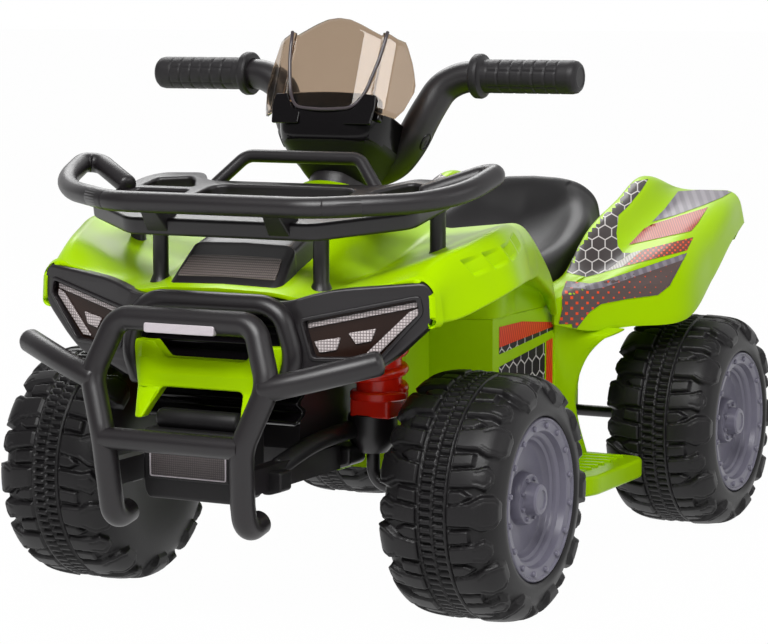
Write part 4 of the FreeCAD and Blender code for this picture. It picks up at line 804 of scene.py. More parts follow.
tail = rearFairing()
print("rear fairing made")


# seat: moulded dish with a rolled back

seatSizes = {
    "wall": 0.003, "radii": [0, 24, 18, 9, 0],
    "stations": [
        (188, [(0, 73), (46, 74), (68, 76), (80, 71), (86, 34)]),
        (230, [(0, 58), (46, 60), (72, 66), (82, 61), (86.5, 16)]),
        (290, [(0, 46), (44, 48), (72, 58), (83, 54), (86, 12)]),
        (350, [(0, 46), (44, 50), (70, 66), (82, 64), (86, 22)]),
        (395, [(0, 56), (40, 64), (64, 82), (78, 80), (84, 30)]),
        (426, [(0, 78), (34, 84), (54, 95), (68, 89), (78, 44)]),
        (444, [(0, 107), (28, 107), (47, 106), (64, 95), (72, 56)]),
        (453, [(0, 114.5), (28, 113.5), (47, 109.5), (63, 97), (69, 62)]),
        (461, [(0, 111), (28, 109), (45, 103.5), (59, 89), (64, 64)]),
        (466, [(0, 99), (26, 96.5), (43, 91), (56, 79), (61, 66)]),
        (467.5, [(0, 44), (26, 44.5), (43, 45), (56, 45.5), (61, 46)]),
    ],
}


def seatSkin():
    piece = skin("seatSkin", stationRows(seatSizes["stations"]), seatSizes["radii"], seatBlack,
                 seatSizes["wall"], 8, 6, 5)
    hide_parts("seat")


seatSkin()
print("seat made")


# face: bezel, sunk lamp panels with their light strips, frame round the mouth

faceSizes = {
    "plane": -114.0, "sweep": 0.3, "flatHalf": 70, "thick": 12.0,
    "bezel": [(0, 58), (62, 57), (80, 63), (97, 67), (158, 73), (164, 66), (163.5, 44), (138, 19), (122, 8),
              (98, 4), (75, -4), (54.3, -4), (63, 18), (55, 47), (0, 49)],
    "bezelRadii": [0, 8, 6, 14, 7, 7, 9, 10, 8, 8, 3, 3, 12, 8, 0],
    "lamp": [(74, 43.5), (153, 61), (155, 51), (127, 19), (81, 18)],
    "ring": [(71.5, 45.5), (155.5, 64), (158, 51), (128, 16), (79, 15.5)],
    "strips": [[(76, 42), (151.5, 58.8), (151.5, 55), (76, 38.4)],
               [(151.8, 54), (146, 51.5), (116, 21), (125, 21.5), (152.6, 50)],
               [(80, 29), (98.5, 32.2), (95.5, 23), (84, 21)],
               [(104, 35.5), (123, 39), (119.5, 30), (109, 27.8)]],
    "mouth": [(62, -4), (69.5, 18), (60, 47), (47, 54.5)], "mouthTube": 0.0076, "mouthBend": 0.013,
    "mouthOut": 2.5,
}


def faceBend(x, h, out):   # the face lies on a plane that sweeps back beside the middle
    beside = max(0.0, abs(x) - faceSizes["flatHalf"])
    return bodyPoint(x, faceSizes["plane"] + faceSizes["sweep"] * beside - out, h)


def faceMask():
    sizes = faceSizes
    loop = roundedLoop(mirroredLoop(sizes["bezel"]), mirroredRadii(sizes["bezelRadii"]))
    lamp = roundedLoop(sizes["lamp"], 3.0, 3)
    wide = roundedLoop(sizes["ring"], 4.0, 3)
    seams = (-sizes["flatHalf"], sizes["flatHalf"])
    bezel = cutout("faceBezel", [loop, lamp, flippedLoop(lamp)], -sizes["thick"], 0, 2.2, faceBend, black,
                   seams=seams)
    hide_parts("nose_fascia")
    turns = {"left": list, "right": flippedLoop}
    for side, turn in turns.items():
        cutout(f"lampRing_{side}", [turn(wide), turn(lamp)], -2.0, 1.6, 0.8, faceBend, black)
    for side, turn in turns.items():
        panel = cutout(f"lampPanel_{side}", [turn(wide)], -7.5, -5.0, 0.4, faceBend, lens)
        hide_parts(f"headlight_{side}")
        for i, shape in enumerate(sizes["strips"]):
            strip = turn(roundedLoop(shape, 0.9, 2))
            cutout(f"lampStrip{i}_{side}", [strip], -5.2, -3.6, 0.35, faceBend, ledFilm)
    half = [faceBend(x, h, sizes["mouthOut"]) for x, h in sizes["mouth"]]
    route = half + flipped(half[::-1])
    path = eased(route, [sizes["mouthBend"]] * len(route))
    mouth = tube("mouthFrame", path, sizes["mouthTube"], black, flatten=0.85)


faceMask()
print("face made")


# hood scoop with its sloping visor

scoopSizes = {   # rows of distance behind the axle, half width and lift over the hood
    "rows": [(-99, 47, -1.5), (-96.5, 46.5, 1.0), (-71, 44, 15.5), (-66, 43, 17), (-40, 41, 17),
             (-6, 37, 11)],
    "visor": [(-41.5, 1.5), (41.5, 1.5), (38.5, 22), (-38.5, 22)], "wall": 0.0022, "edge": 0.0012,
    "crown": (0.9, 38),
}


def scoopTop(v):
    rows = scoopSizes["rows"]
    return np.interp(v, [r[0] for r in rows], [fairingPoint(0, r[0])[1] + r[2] for r in rows])


def hoodScoop():
    rows = []
    for v, half, lift in scoopSizes["rows"]:
        hood = fairingPoint(0, v)[1]
        top = hood + lift
        outline = [(0, top + 1), (half - 5, top), (half, top - 3.5), (half + 1.5, hood - 7)]
        rows.append([bodyPoint(x, v, h) for x, h in outline])
    body = skin("hoodScoop", rows, [0, 4, 3, 0], black, scoopSizes["wall"], 4, 4, 4)
    bevel(body, scoopSizes["edge"], 45)
    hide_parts("hood_panel")
    foot, head = scoopSizes["rows"][1][0], scoopSizes["rows"][2][0]
    run = (head - foot) / hypot(head - foot, scoopTop(head) - scoopTop(foot))
    rise, half = scoopSizes["crown"]

    def visorBend(x, along, out):
        v = foot + 1.0 + along * run
        return bodyPoint(x, v, scoopTop(v) + out + rise * (1 - (x / half) ** 2))

    loop = roundedLoop(scoopSizes["visor"], 2.5, 3)
    visor = cutout("hoodVisor", [loop], -0.6, 1.1, 0.4, visorBend, visorFilm, seams=range(-30, 31, 10))
    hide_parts("hood_lens")


hoodScoop()
print("hood scoop made")


# rack tray: a deep slotted moulding with brackets down from the front rail

traySizes = {
    "origin": (-106, 105), "tilt": 10.5, "low": -6.0, "high": 7.4,
    "edge": [(0, 0), (77, 0), (134, 42), (137, 50), (137, 124), (128, 138), (92, 142), (76, 118), (0, 118)],
    "middle": [(0, 22), (56, 22), (62, 30), (62, 98), (54, 104), (0, 104)],
    "slots": [[(74, 28), (84, 24), (122, 52), (122, 60), (74, 60)],
              [(74, 70), (122, 70), (122, 86), (74, 86)],
              [(76, 96), (122, 96), (122, 118), (96, 126), (88, 118)]],
    "loop": [(128, -26, 130), (166, -4, 144.5), (178, -10, 145.5), (171, -46, 134), (148, -72, 127.5),
             (90, -112.2, 124.9)],
    "loopBends": [0, 0.008, 0.012, 0.03, 0.03, 0],
    "rail": [(112, -97, 125.8), (83, -117, 124.6)], "railBends": [0, 0.022, 0.022, 0], "tube": 0.0078,
    "posts": [(129.5, -8, 82, 121), (68, -74, 62, 108)],   # x, distance behind the axle, low, high
    "bracket": [(-118, 126), (-108, 126), (-92, 112), (-92, 100), (-103, 100), (-120, 119)], "bracketX": 51,
}


def trayBend(x, along, out):
    tilt = radians(traySizes["tilt"])
    v, h = traySizes["origin"]
    return bodyPoint(x, v + along * cos(tilt) - out * sin(tilt), h + along * sin(tilt) + out * cos(tilt))


def rackTray():
    sizes = traySizes
    loops = [roundedLoop(mirroredLoop(sizes["edge"]), 9), roundedLoop(mirroredLoop(sizes["middle"]), 5)]
    for slot in sizes["slots"]:
        gap = roundedLoop(slot, 4, 4)
        loops += [gap, flippedLoop(gap)]
    tray = cutout("rackTray", loops, sizes["low"], sizes["high"], 2.8, trayBend, black)
    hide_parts("rack_tray")
    for name, side in sides.items():
        def bracketBend(v, h, out, side=side):   # narrower toward the front
            return bodyPoint(side * sizes["bracketX"] + out * (1 + 0.02 * (v + 106)), v, h)

        cutout(f"rackBracket_{name}", [roundedLoop(sizes["bracket"], 2, 3)], -9, 9, 1.2, bracketBend, black)
        route = [bodyPoint(side * x, v, h) for x, v, h in sizes["loop"]]
        loop = tube(f"rackLoop_{name}", eased(route, sizes["loopBends"]), sizes["tube"], black, around=24)
        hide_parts(f"rack_loop_{name}")
    posts = []
    for side in sides.values():
        for x, v, low, high in sizes["posts"]:
            line = [(low, 8.4), (low + 2, 7.6), (low + 6, 5.9), (high - 6, 5.9), (high, 7.0)]
            rows = [[bodyPoint(side * x + a, v + b, h) for a, b in circle(r, 28)] for h, r in line]
            posts.append(gridPiece("rackPost", rows, black, closeColumns=True))
    posts = joined("rackPosts", posts)
    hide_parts("rack_posts")
    half = [bodyPoint(*p) for p in sizes["rail"]]
    path = eased(half + flipped(half[::-1]), sizes["railBends"])
    rail = tube("rackRail", path, sizes["tube"], black, around=24)
    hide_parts("rack_front_rail")


rackTray()
print("rack tray made")


# steering head: bowl, dash wall, smoked screen with its raised trim

headSizes = {   # along the column, w, and rearward from it, n
    "foot": (1.9, -59.0), "lean": (0.38268, 0.92388), "arc": 44, "rim": (0, -24, 249), "well": (0, -26, 246),
    "bowl": [(203, 23.5, -14, 12), (208, 28, -22, 14), (214, 32, -30, 14), (221, 38, -37, 14),
             (227, 43, -42.5, 14), (240, 46.5, -45, 13), (251, 48, -45.5, 10)],
    "collar": [(128, 46), (150, 38), (170, 33), (188, 30.5), (194.5, 29.5), (196, 28), (196, 25.5),
               (184, 25.5)],
    "neck": [(174, 0.001), (174, 25), (178, 24.4), (203, 23), (206, 22), (206, 0.001)],
    "dash": [(0, 263.5), (36, 263.5), (43, 261), (46, 247), (46, 242), (0, 242)],
    "shoulder": [(26.5, 248.2), (32.8, 258.5), (33.5, 260.5), (44, 260), (45, 250), (43, 236), (20, 236),
                 (20, 246)],
    "face": -44.4,
    "screenTop": [(0, 323), (10, 321.8), (20, 318), (30, 313.4), (37, 310.5), (40, 313.2), (44, 311.6),
                  (50, 308.6), (55.5, 307.6), (62, 290), (65, 276)],
    "screenFoot": [(0, 246), (24, 248), (32, 256), (40, 250), (46, 247), (57, 246), (61, 254), (65, 270)],
    "screenSteps": 14, "screenWall": 0.002, "bow": 140, "fold": 50, "step": 38.5,
    "trim": [(42, 313), (39.5, 290), (32.5, 261), (25, 249.5), (0, 246.5)], "trimBend": 0.012,
    "trimTube": 0.0014,
}


def headPoint(x, n, w):
    s, c = headSizes["lean"]
    v, h = headSizes["foot"]
    return bodyPoint(x, v + n * c + w * s, h - n * s + w * c)


def screenDepth(x):   # a bowed middle, flanks folded back and a small step between the panes
    bow, fold, step = (headSizes[key] for key in ("bow", "fold", "step"))
    depth = 93 - sqrt(bow ** 2 - min(abs(x), fold) ** 2) + max(0.0, abs(x) - fold) * 0.95
    return depth - (1.6 if abs(x) > step else 0.0)


def headBowl():
    sizes = headSizes
    count = sizes["arc"] + 1
    rows = []
    for w, half, front, back in sizes["bowl"]:
        row = []
        for angle in (pi * i / sizes["arc"] for i in range(count)):
            x = half * copysign(abs(cos(angle)) ** 0.5, cos(angle))
            row.append(headPoint(x, back + (front - back) * abs(sin(angle)) ** 0.35, w))
        rows.append(row)
    rows = curved(rows, 4)
    rows.append([p.lerp(headPoint(*sizes["rim"]), 0.07) - Vector((0, 0, 0.0012)) for p in rows[-1]])
    points = [p for row in rows for p in row]
    middle, ring = len(points), len(points) - count
    faces = gridFaces(len(rows), count, closeColumns=True)
    faces += [(ring + i, ring + (i + 1) % count, middle) for i in range(count)]
    faces.append(tuple(range(count))[::-1])
    bowl = newPiece("headBowl", points + [headPoint(*sizes["well"])], faces, piano, "steering")
    edited(bowl.data, outward)
    bowl.data.materials.append(seatBlack)
    for face in bowl.data.polygons:   # the underside is matt
        face.material_index = int(face.normal.z < -0.3)
    sharpen(bowl, 42)
    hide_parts("binnacle")


def columnRings(name, line, around, material, body):
    rows = [[headPoint(x, n, w) for x, n in circle(r, around)] for w, r in line]
    return gridPiece(name, rows, material, body, closeColumns=True)


def smokeScreen():
    sizes = headSizes
    step = sizes["step"]
    folds = [place * sign for place in (sizes["fold"], step - 0.1, step + 0.1) for sign in (-1, 1)]
    columns = np.unique(np.concatenate([np.linspace(-65, 65, 66), folds]))
    foot, top = (np.interp(abs(columns), *zip(*sizes[key])) for key in ("screenFoot", "screenTop"))
    shares = [i / sizes["screenSteps"] for i in range(sizes["screenSteps"] + 1)]
    rows = [[headPoint(x, screenDepth(x), low + (high - low) * share) for x, low,
             high in zip(columns, foot, top)]
            for share in shares]
    sheet = gridPiece("smokeScreen", rows, smoke, "steering")
    modifier(sheet, "SOLIDIFY", thickness=sizes["screenWall"], offset=-1)
    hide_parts("windscreen")
    half = [headPoint(x, screenDepth(x) - 0.6, w) for x, w in sizes["trim"]]
    route = half + flipped(half[-2::-1])
    path = eased(route, [sizes["trimBend"]] * len(route))
    trim = tube("screenTrim", path, sizes["trimTube"], trimGrey, "steering", around=12)


def steeringHead():
    sizes = headSizes
    headBowl()
    base = columnRings("columnCollar", sizes["collar"], 64, lime, "chassis")
    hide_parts("column_bush")
    neck = columnRings("headNeck", sizes["neck"], 48, black, "steering")
    sharpen(neck, 35)

    def dashBend(x, w, out):
        return headPoint(x, screenDepth(min(abs(x), 38)) + 3.4 + out, w)

    dash = roundedLoop(mirroredLoop(sizes["dash"]), 3.5)
    cutout("dashWall", [dash], 0, 7, 1.6, dashBend, piano, "steering", seams=range(-36, 37, 6))
    for name, side in sides.items():
        def shoulderBend(x, w, out, side=side):
            return headPoint(side * x, sizes["face"] - out, w)

        cutout(f"headShoulder_{name}", [roundedLoop(sizes["shoulder"], 1.5)], 0, 2, 0.6, shoulderBend, piano,
               "steering", seams=(sizes["step"] - 0.1, sizes["step"] + 0.1))
    smokeScreen()


steeringHead()
print("steering head made")


# front shocks: coil over a core, collar, square foot

shockSizes = {
    "x": 0.077, "turns": 3, "turnSteps": 32, "coil": 0.0182, "wire": 0.0042, "coilLow": 0.1655,
    "coilHigh": 0.2085,
    "foot": 17.0, "footHeight": 0.1525,
    "core": [(0.158, 0.001), (0.158, 0.0208), (0.159, 0.022), (0.1635, 0.022), (0.165, 0.0208),
             (0.1655, 0.0172), (0.209, 0.0172), (0.2095, 0.019), (0.214, 0.019), (0.214, 0.001)],
}


def shock(name, x):
    sizes = shockSizes
    core = standingTurn(f"shockCore_{name}", sizes["core"], x, red)
    steps = sizes["turns"] * sizes["turnSteps"]
    low, high, radius = sizes["coilLow"], sizes["coilHigh"], sizes["coil"]
    path = []
    for i in range(steps + 1):
        angle = 2 * pi * sizes["turns"] * i / steps
        path.append(Vector((x + radius * cos(angle), frontAxle + radius * sin(angle),
                            low + (high - low) * i / steps)))
    coil = tube(f"shockCoil_{name}", path, sizes["wire"], red, around=14)
    half = sizes["foot"]
    square = roundedLoop([(-half, -half), (half, -half), (half, half), (-half, half)], 4)

    def footBend(across, along, out):
        return Vector((x + across / 1000, frontAxle + along / 1000, sizes["footHeight"] + out / 1000))

    foot = cutout(f"shockFoot_{name}", [square], -7, 6.5, 1.2, footBend, red)
    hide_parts(f"shock_spring_{name}")


for name, side in sides.items():
    shock(name, side * shockSizes["x"])
print("shocks made")


# front carrier: pots over the kingpins, beam, side struts and lugs

carrierSizes = {
    "x": 0.0715, "beam": [(-66, -60), (66, -60), (66, -74), (40, -82), (-40, -82), (-66, -74)],
    "pot": [(0.147, 0.001), (0.147, 0.0178), (0.1462, 0.0186), (0.133, 0.0190), (0.127, 0.0180),
            (0.119, 0.0125), (0.1175, 0.011), (0.1175, 0.001)],
    "strut": [(54, -112, -62), (60, -70, -50), (62, -8, -48)], "strutTube": 0.0055,
    "strutBends": [0, 0.02, 0],
    "lug": [(54, -62), (70, -62), (70, -76), (60, -79), (54, -79)],
}


def frontCarrier():
    sizes = carrierSizes
    pots = [standingTurn(f"carrierPot_{name}", sizes["pot"], side * sizes["x"], black) for name,
            side in sides.items()]
    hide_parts("axle_carrier")
    cutout("carrierBeam", [roundedLoop(sizes["beam"], 4)], -26, 0, 2.5, upright(0, 1, 1), black)
    for name, side in sides.items():
        path = eased([bodyPoint(side * x, v, h) for x, v, h in sizes["strut"]], sizes["strutBends"])
        tube(f"carrierStrut_{name}", path, sizes["strutTube"], seatBlack, around=16, flatten=1.3)
        lug = roundedLoop(sizes["lug"], 2.5)
        cutout(f"towLug_{name}", [lug], -138, -122, 1.6, upright(0, side, 1), seatBlack)


frontCarrier()
print("front carrier made")


# grille: a folded H in the mouth with a dark panel behind

grilleSizes = {
    "half": [(0, 13.5), (33.2, 13.5), (43.5, 25), (64, 25), (60, 6), (55, -10), (48, -29), (41, -29),
             (34, -7.8), (0, -7.8)],
    "radii": [0, 4, 1.5, 1.5, 6, 6, 1.5, 1.5, 4, 0], "heights": [-29, -8, 13, 25],
    "places": [-140, -126.5, -122, -119], "folds": [44.5, 47.5, 51, 54], "ridge": 3.5,
    "back": [(0, 52), (58, 50), (66, 20), (66, -34), (0, -34)], "backPlace": -100,
}


def mouthGrille():
    sizes = grilleSizes
    loop = roundedLoop(mirroredLoop(sizes["half"]), mirroredRadii(sizes["radii"]))

    def grilleBend(x, h, out):   # ridged along the bar and along each leg
        fold = np.interp(h, sizes["heights"], sizes["folds"])
        away = abs(h - 2.5) / 13 if abs(x) < 36 else abs(abs(x) - fold) / 22
        place = np.interp(h, sizes["heights"], sizes["places"]) - sizes["ridge"] * max(0.0, 1 - away)
        return bodyPoint(x, place - out + 0.5 * max(0.0, abs(x) - fold), h)

    def backBend(x, h, out):   # ribbed across
        return bodyPoint(x, sizes["backPlace"] - out + 4 * sin(h / 2.2), h)

    bar = cutout("mouthGrille", [loop], -7, 3, 1.4, grilleBend, lime,
                 seams=(-52, -44, -36, 36, 44, 52), levels=(-18, -8, -3, 2.5, 8, 13))
    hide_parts("grille_bar")
    back = roundedLoop(mirroredLoop(sizes["back"]), 5)
    cutout("mouthBack", [back], -3, 3, 1.0, backBend, piano, levels=range(-33, 52))


mouthGrille()
print("grille made")


# bull bar wings, strip, winch and plate

barSizes = {
    "wing": [(70, -163, 0), (100, -153, 7.5), (145, -134, 20)], "wingTube": 0.009, "wingBends": [0, 0.01, 0],
    "strip": [(-29, 35.4), (29, 35.4), (29, 42.4), (-29, 42.4)], "stripPlace": -159.2,
    "plate": [(-32, -70), (32, -70), (32, -52), (-32, -52)], "platePlace": -149.0, "lineShare": (0.965, 0.9),
    "winch": [(-40, -36), (40, -36), (40, -80), (36, -87), (-36, -87), (-40, -80)], "winchPlace": -127,
    "pad": [(-34, -72), (34, -72), (34, -50), (-34, -50)],
    "drum": [(x, -132, -30) for x in (-31, -10, 10, 31)], "drumTube": 0.0076,
}


def bullBar():
    sizes = barSizes
    for name, side in sides.items():
        path = eased([bodyPoint(side * x, v, h) for x, v, h in sizes["wing"]], sizes["wingBends"])
        tube(f"barWing_{name}", path, sizes["wingTube"], black, around=28)
    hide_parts("bumper_wings")
    loop = roundedLoop(sizes["strip"], 1.8, 3)
    strip = cutout("barStrip", [loop], -3.0, 1.6, 0.6, upright(sizes["stripPlace"]), silver)
    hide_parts("bumper_reflector")
    winchBend = upright(sizes["winchPlace"])
    winch = cutout("winchBody", [roundedLoop(sizes["winch"], 3)], -19, 19, 2.5, winchBend, seatBlack)
    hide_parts("winch_box")
    cutout("winchPad", [roundedLoop(sizes["pad"], 2)], 15, 22, 1.0, winchBend, seatBlack)
    tube("winchDrum", [bodyPoint(*p) for p in sizes["drum"]], sizes["drumTube"], seatBlack, around=28)
    plate = roundedLoop(sizes["plate"], 1.5, 2)
    wide, high = sizes["lineShare"]
    inner = roundedLoop([(x * wide, -61 + (h + 61) * high) for x, h in sizes["plate"]], 1.0, 2)
    plateBend = upright(sizes["platePlace"])
    cutout("plateFace", [plate], -0.2, 0.5, 0.1, plateBend, plateFilm)
    cutout("plateLine", [plate, inner], 0.3, 0.8, 0.1, plateBend, silver)


bullBar()
print("bull bar made")


# handlebar with its screw wells, moulded grips

gripSizes = {
    "n": 5.0, "w": 296.0, "around": 72, "cells": (113, 172, 9.8), "rows": 6, "sunk": 0.7, "seam": 0.09,
    "profile": [(99, 12.4), (99.2, 16.2), (100.4, 17.3), (104.6, 17.5), (106.2, 16.8), (107.2, 14.2),
                (108.6, 13.0), (181.5, 13.0), (184.8, 12.3), (186.8, 10.6), (187.5, 8.2), (186.9, 7.4),
                (186.9, 0.02)],
}
handleSizes = {
    "bar": [(0, 22, 221), (32, 22, 226), (50, 13, 243), (60, 7.5, 263), (72, 6, 287), (88, 5, 295),
            (103, 5, 296)],
    "bends": [0.010, 0.014, 0.012, 0.012, 0.014, 0.010, 0], "thin": 0.0122, "swell": 0.0022,
    "well": (53, 11.5, 249), "wellAway": (0.86, -0.32, -0.4), "wellRing": (0.0126, 0.0066, 0.0036),
    "wellFloor": 0.0138, "wellTube": 0.0012, "wellSteps": 24,
}


def gripMesh(name, side):
    sizes = gripSizes
    line = [Vector((x, r, 0)) for x, r in sizes["profile"]]
    fine = []
    for a, b in zip(line, line[1:]):
        steps = max(1, int((b - a).length))
        fine += [a.lerp(b, i / steps) for i in range(steps)]
    fine.append(line[-1])
    start, end, pitch = sizes["cells"]
    rows = []
    for i in range(sizes["around"]):
        share = i / sizes["around"]
        row = []
        for p in fine:
            radius = p.y
            if start < p.x < end and radius > 12:   # grooves between the cells
                edge = 0.5 - abs((share * sizes["rows"]) % 1.0 - 0.5)
                ahead = 0.5 - abs(((p.x - start) / pitch) % 1.0 - 0.5)
                radius -= sizes["sunk"] * max(0.0, 1 - min(edge, ahead * 0.9) / sizes["seam"])
            angle = 2 * pi * share
            row.append(headPoint(side * p.x, sizes["n"] + radius * cos(angle),
                                 sizes["w"] + radius * sin(angle)))
        rows.append(row)
    faces = gridFaces(sizes["around"], len(fine), closeRows=True)
    points = [p for row in rows for p in row]
    piece = newPiece(f"gripSleeve_{name}", points, faces if side > 0 else turned(faces), gripBlack,
                     "steering")
    sharpen(piece, 40)
    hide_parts(f"grip_{name}")


def handleTube():
    sizes = handleSizes
    half = [headPoint(*p) for p in sizes["bar"]]
    path = eased(flipped(half[:0:-1]) + half, sizes["bends"][:0:-1] + sizes["bends"], 9)

    def radius(t):
        return sizes["thin"] + sizes["swell"] * sin(pi * t) ** 2

    bar = tube("handleTube", path, radius, black, "steering", around=28)
    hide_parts("handlebar")
    x, n, w = sizes["well"]
    lift, long, wide = sizes["wellRing"]
    count = sizes["wellSteps"]
    for name, side in sides.items():
        shoulder = headPoint(side * x, n, w)
        away = Vector((side * sizes["wellAway"][0], *sizes["wellAway"][1:])).normalized()
        low, high = (headPoint(side * p[0], p[1], p[2]) for p in sizes["bar"][2:4])
        along = (high - low).normalized()
        across = away.cross(along).normalized()
        ring = [shoulder + away * lift + along * (long * a) + across * (wide * b) for a,
                b in circle(1, count)]
        tube(f"screwWell_{name}", ring, sizes["wellTube"], piano, "steering", around=8, closed=True)
        faces = [(0, i + 1, (i + 1) % count + 1) for i in range(count)]
        newPiece(f"screwFloor_{name}", [shoulder + away * sizes["wellFloor"]] + ring, faces, piano,
                 "steering")


for name, side in sides.items():
    gripMesh(name, side)
handleTube()
print("handlebar made")


# tub: arched behind the leg panel, black in front as painted shade on the lime plastic, with a flared flange
# and thicker footboards

tubSizes = {
    "arch": (426, -92), "archRadius": 119, "archSpan": (50.6, 130), "paintedShadeBefore": 40, "wall": 0.003,
    "weld": 0.00001,
    "flangeIn": [(109, 256, 6), (105.7, 262, -6), (105.7, 262, -22), (105.7, 262, -40), (105.7, 262, -60),
                 (105.7, 264, -84), (105.7, 268, -112)],
    "flangeOut": [(150, 308, -1), (141, 291, -7), (126, 290, -22), (116, 293, -40), (111, 295, -60),
                  (111, 304, -84), (113, 318, -112)],
    "flare": (2.2, 1, 1),
    "board": [(66, 205), (140, 200), (158, 208), (163, 222), (163, 318), (156, 330), (66, 334)],
    "boardHeight": -120, "ribHeight": -112, "ribs": 7, "ribStart": 222, "ribPitch": 14, "rightEnd": 250,
}


def tubShell():
    sizes = tubSizes
    source = nodes["body_tub"]
    piece = pieceOf("tubShell", source.data.copy(), lime, smooth=False, place=source.matrix_world)
    piece.data.materials.append(black)
    v, h = sizes["arch"]
    ring = circle(sizes["archRadius"], 72)
    cutters = []
    for side in sides.values():
        ends = [[bodyPoint(side * x, v + a, h + b) for a, b in ring] for x in sizes["archSpan"]]
        cutters.append(prism(*ends, lime, side < 0))
    modifier(piece, "WELD", merge_threshold=sizes["weld"])
    carve(piece, cutters)
    # faces ahead of this line take the black finish: painted shade standing in for the shadow under the
    # fairing
    edge = bodyPoint(0, sizes["paintedShadeBefore"], 0).y
    edited(piece.data, lambda work: bisected(work, (0, edge, 0), (0, 1, 0)))
    for face in piece.data.polygons:
        face.material_index = int(face.center.y < edge)
    bevel(piece, 0.0025, 28, 3, True)
    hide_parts("body_tub")


def legFlange(name, side):
    sizes = tubSizes
    rows = []
    for near, far in zip(sizes["flangeIn"], sizes["flangeOut"]):
        row = []
        for t in (step / 8 for step in range(9)):
            x, v, h = (a + (b - a) * t ** power for a, b, power in zip(near, far, sizes["flare"]))
            row.append(bodyPoint(side * x, v, h))
        rows.append(row)
    piece = gridPiece(f"legFlange_{name}", curved(rows, 6), lime, flip=side > 0)
    modifier(piece, "SOLIDIFY", thickness=sizes["wall"], offset=-1)
    bevel(piece, 0.001, 50)


def footSlab():
    sizes = tubSizes
    board = roundedLoop(sizes["board"], 9)
    slab = cutout("footSlab_left", [board], -8.5, 8.0, 3.0, level(sizes["boardHeight"]), lime)
    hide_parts("footboard_left")
    for name, side in sides.items():
        for i in range(sizes["ribs"]):
            v = sizes["ribStart"] + sizes["ribPitch"] * i
            if side > 0 or v <= sizes["rightEnd"]:   # the pedal takes the rest of the right board
                rib = roundedLoop([(80, v), (146, v + 9), (146, v + 13), (80, v + 4)], 1.5, 2)
                cutout(f"footRib{i}_{name}", [rib], -0.5, 1.7, 0.7, level(sizes["ribHeight"], side), lime)


tubShell()
for name, side in sides.items():
    legFlange(name, side)
footSlab()
print("tub made")


# printed films: honeycomb, dots and hatching on the tail and the leg panels

def film(name, pattern, cell, dark, pale, **more):   # a pattern and how far it is worn
    paint = Paint(name, Specular_IOR_Level=0.14)
    spread = paint.place("UV")
    drift = paint.noise(40.0, 3.0)
    share, wear = pattern(paint.axis(spread, "X"), paint.axis(spread, "Y"), cell, **more)
    paint.give(Base_Color=paint.mix(share * (1 - wear + wear * drift), shade(*dark), shade(*pale)),
               Roughness=0.26 + 0.1 * drift)
    return paint.material


def honeycomb(across, up, cell):
    root = sqrt(3)
    u, v = across / cell, up / cell
    ax, ay = u % 1.0 - 0.5, v % root - root / 2
    bx, by = (u - 0.5) % 1.0 - 0.5, (v - root / 2) % root - root / 2
    near = (ax * ax + ay * ay) < (bx * bx + by * by)
    x, y = abs(ax * near + bx * (1 - near)), abs(ay * near + by * (1 - near))
    return ((x.most(x * 0.5 + y * (root / 2)) - 0.45) / 0.02).clip(), 0.0


def dots(across, up, cell, fade):
    a, b = ((across + up) / cell) % 1.0 - 0.5, ((across - up) / cell) % 1.0 - 0.5
    reach = abs(a + b).most(abs(a - b))
    return ((0.36 - fade * across - reach) / 0.06).clip(), 0.25


def hatching(across, up, cell):
    return ((abs(((across + 0.35 * up) / cell) % 1.0 - 0.5) - 0.18) * 6).clip(), 0.4


combFilm = film("combFilm", honeycomb, 13.0, (70, 64, 64), (205, 200, 198))
legComb = film("legComb", honeycomb, 15.0, (40, 36, 38), (200, 196, 194))
bigDots = film("bigDots", dots, 10.5, (92, 78, 76), (250, 80, 26), fade=0.0022)
smallDots = film("smallDots", dots, 5.4, (110, 62, 50), (246, 84, 36), fade=0.0)
salmonHatch = film("salmonHatch", hatching, 2.4, (142, 70, 60), (192, 92, 74))
greyHatch = film("greyHatch", hatching, 9.0, (112, 106, 114), (140, 134, 142))
paleHatch = film("paleHatch", hatching, 3.0, (150, 146, 138), (190, 186, 178))
orangeHatch = film("orangeHatch", hatching, 4.0, (206, 50, 22), (240, 84, 40))

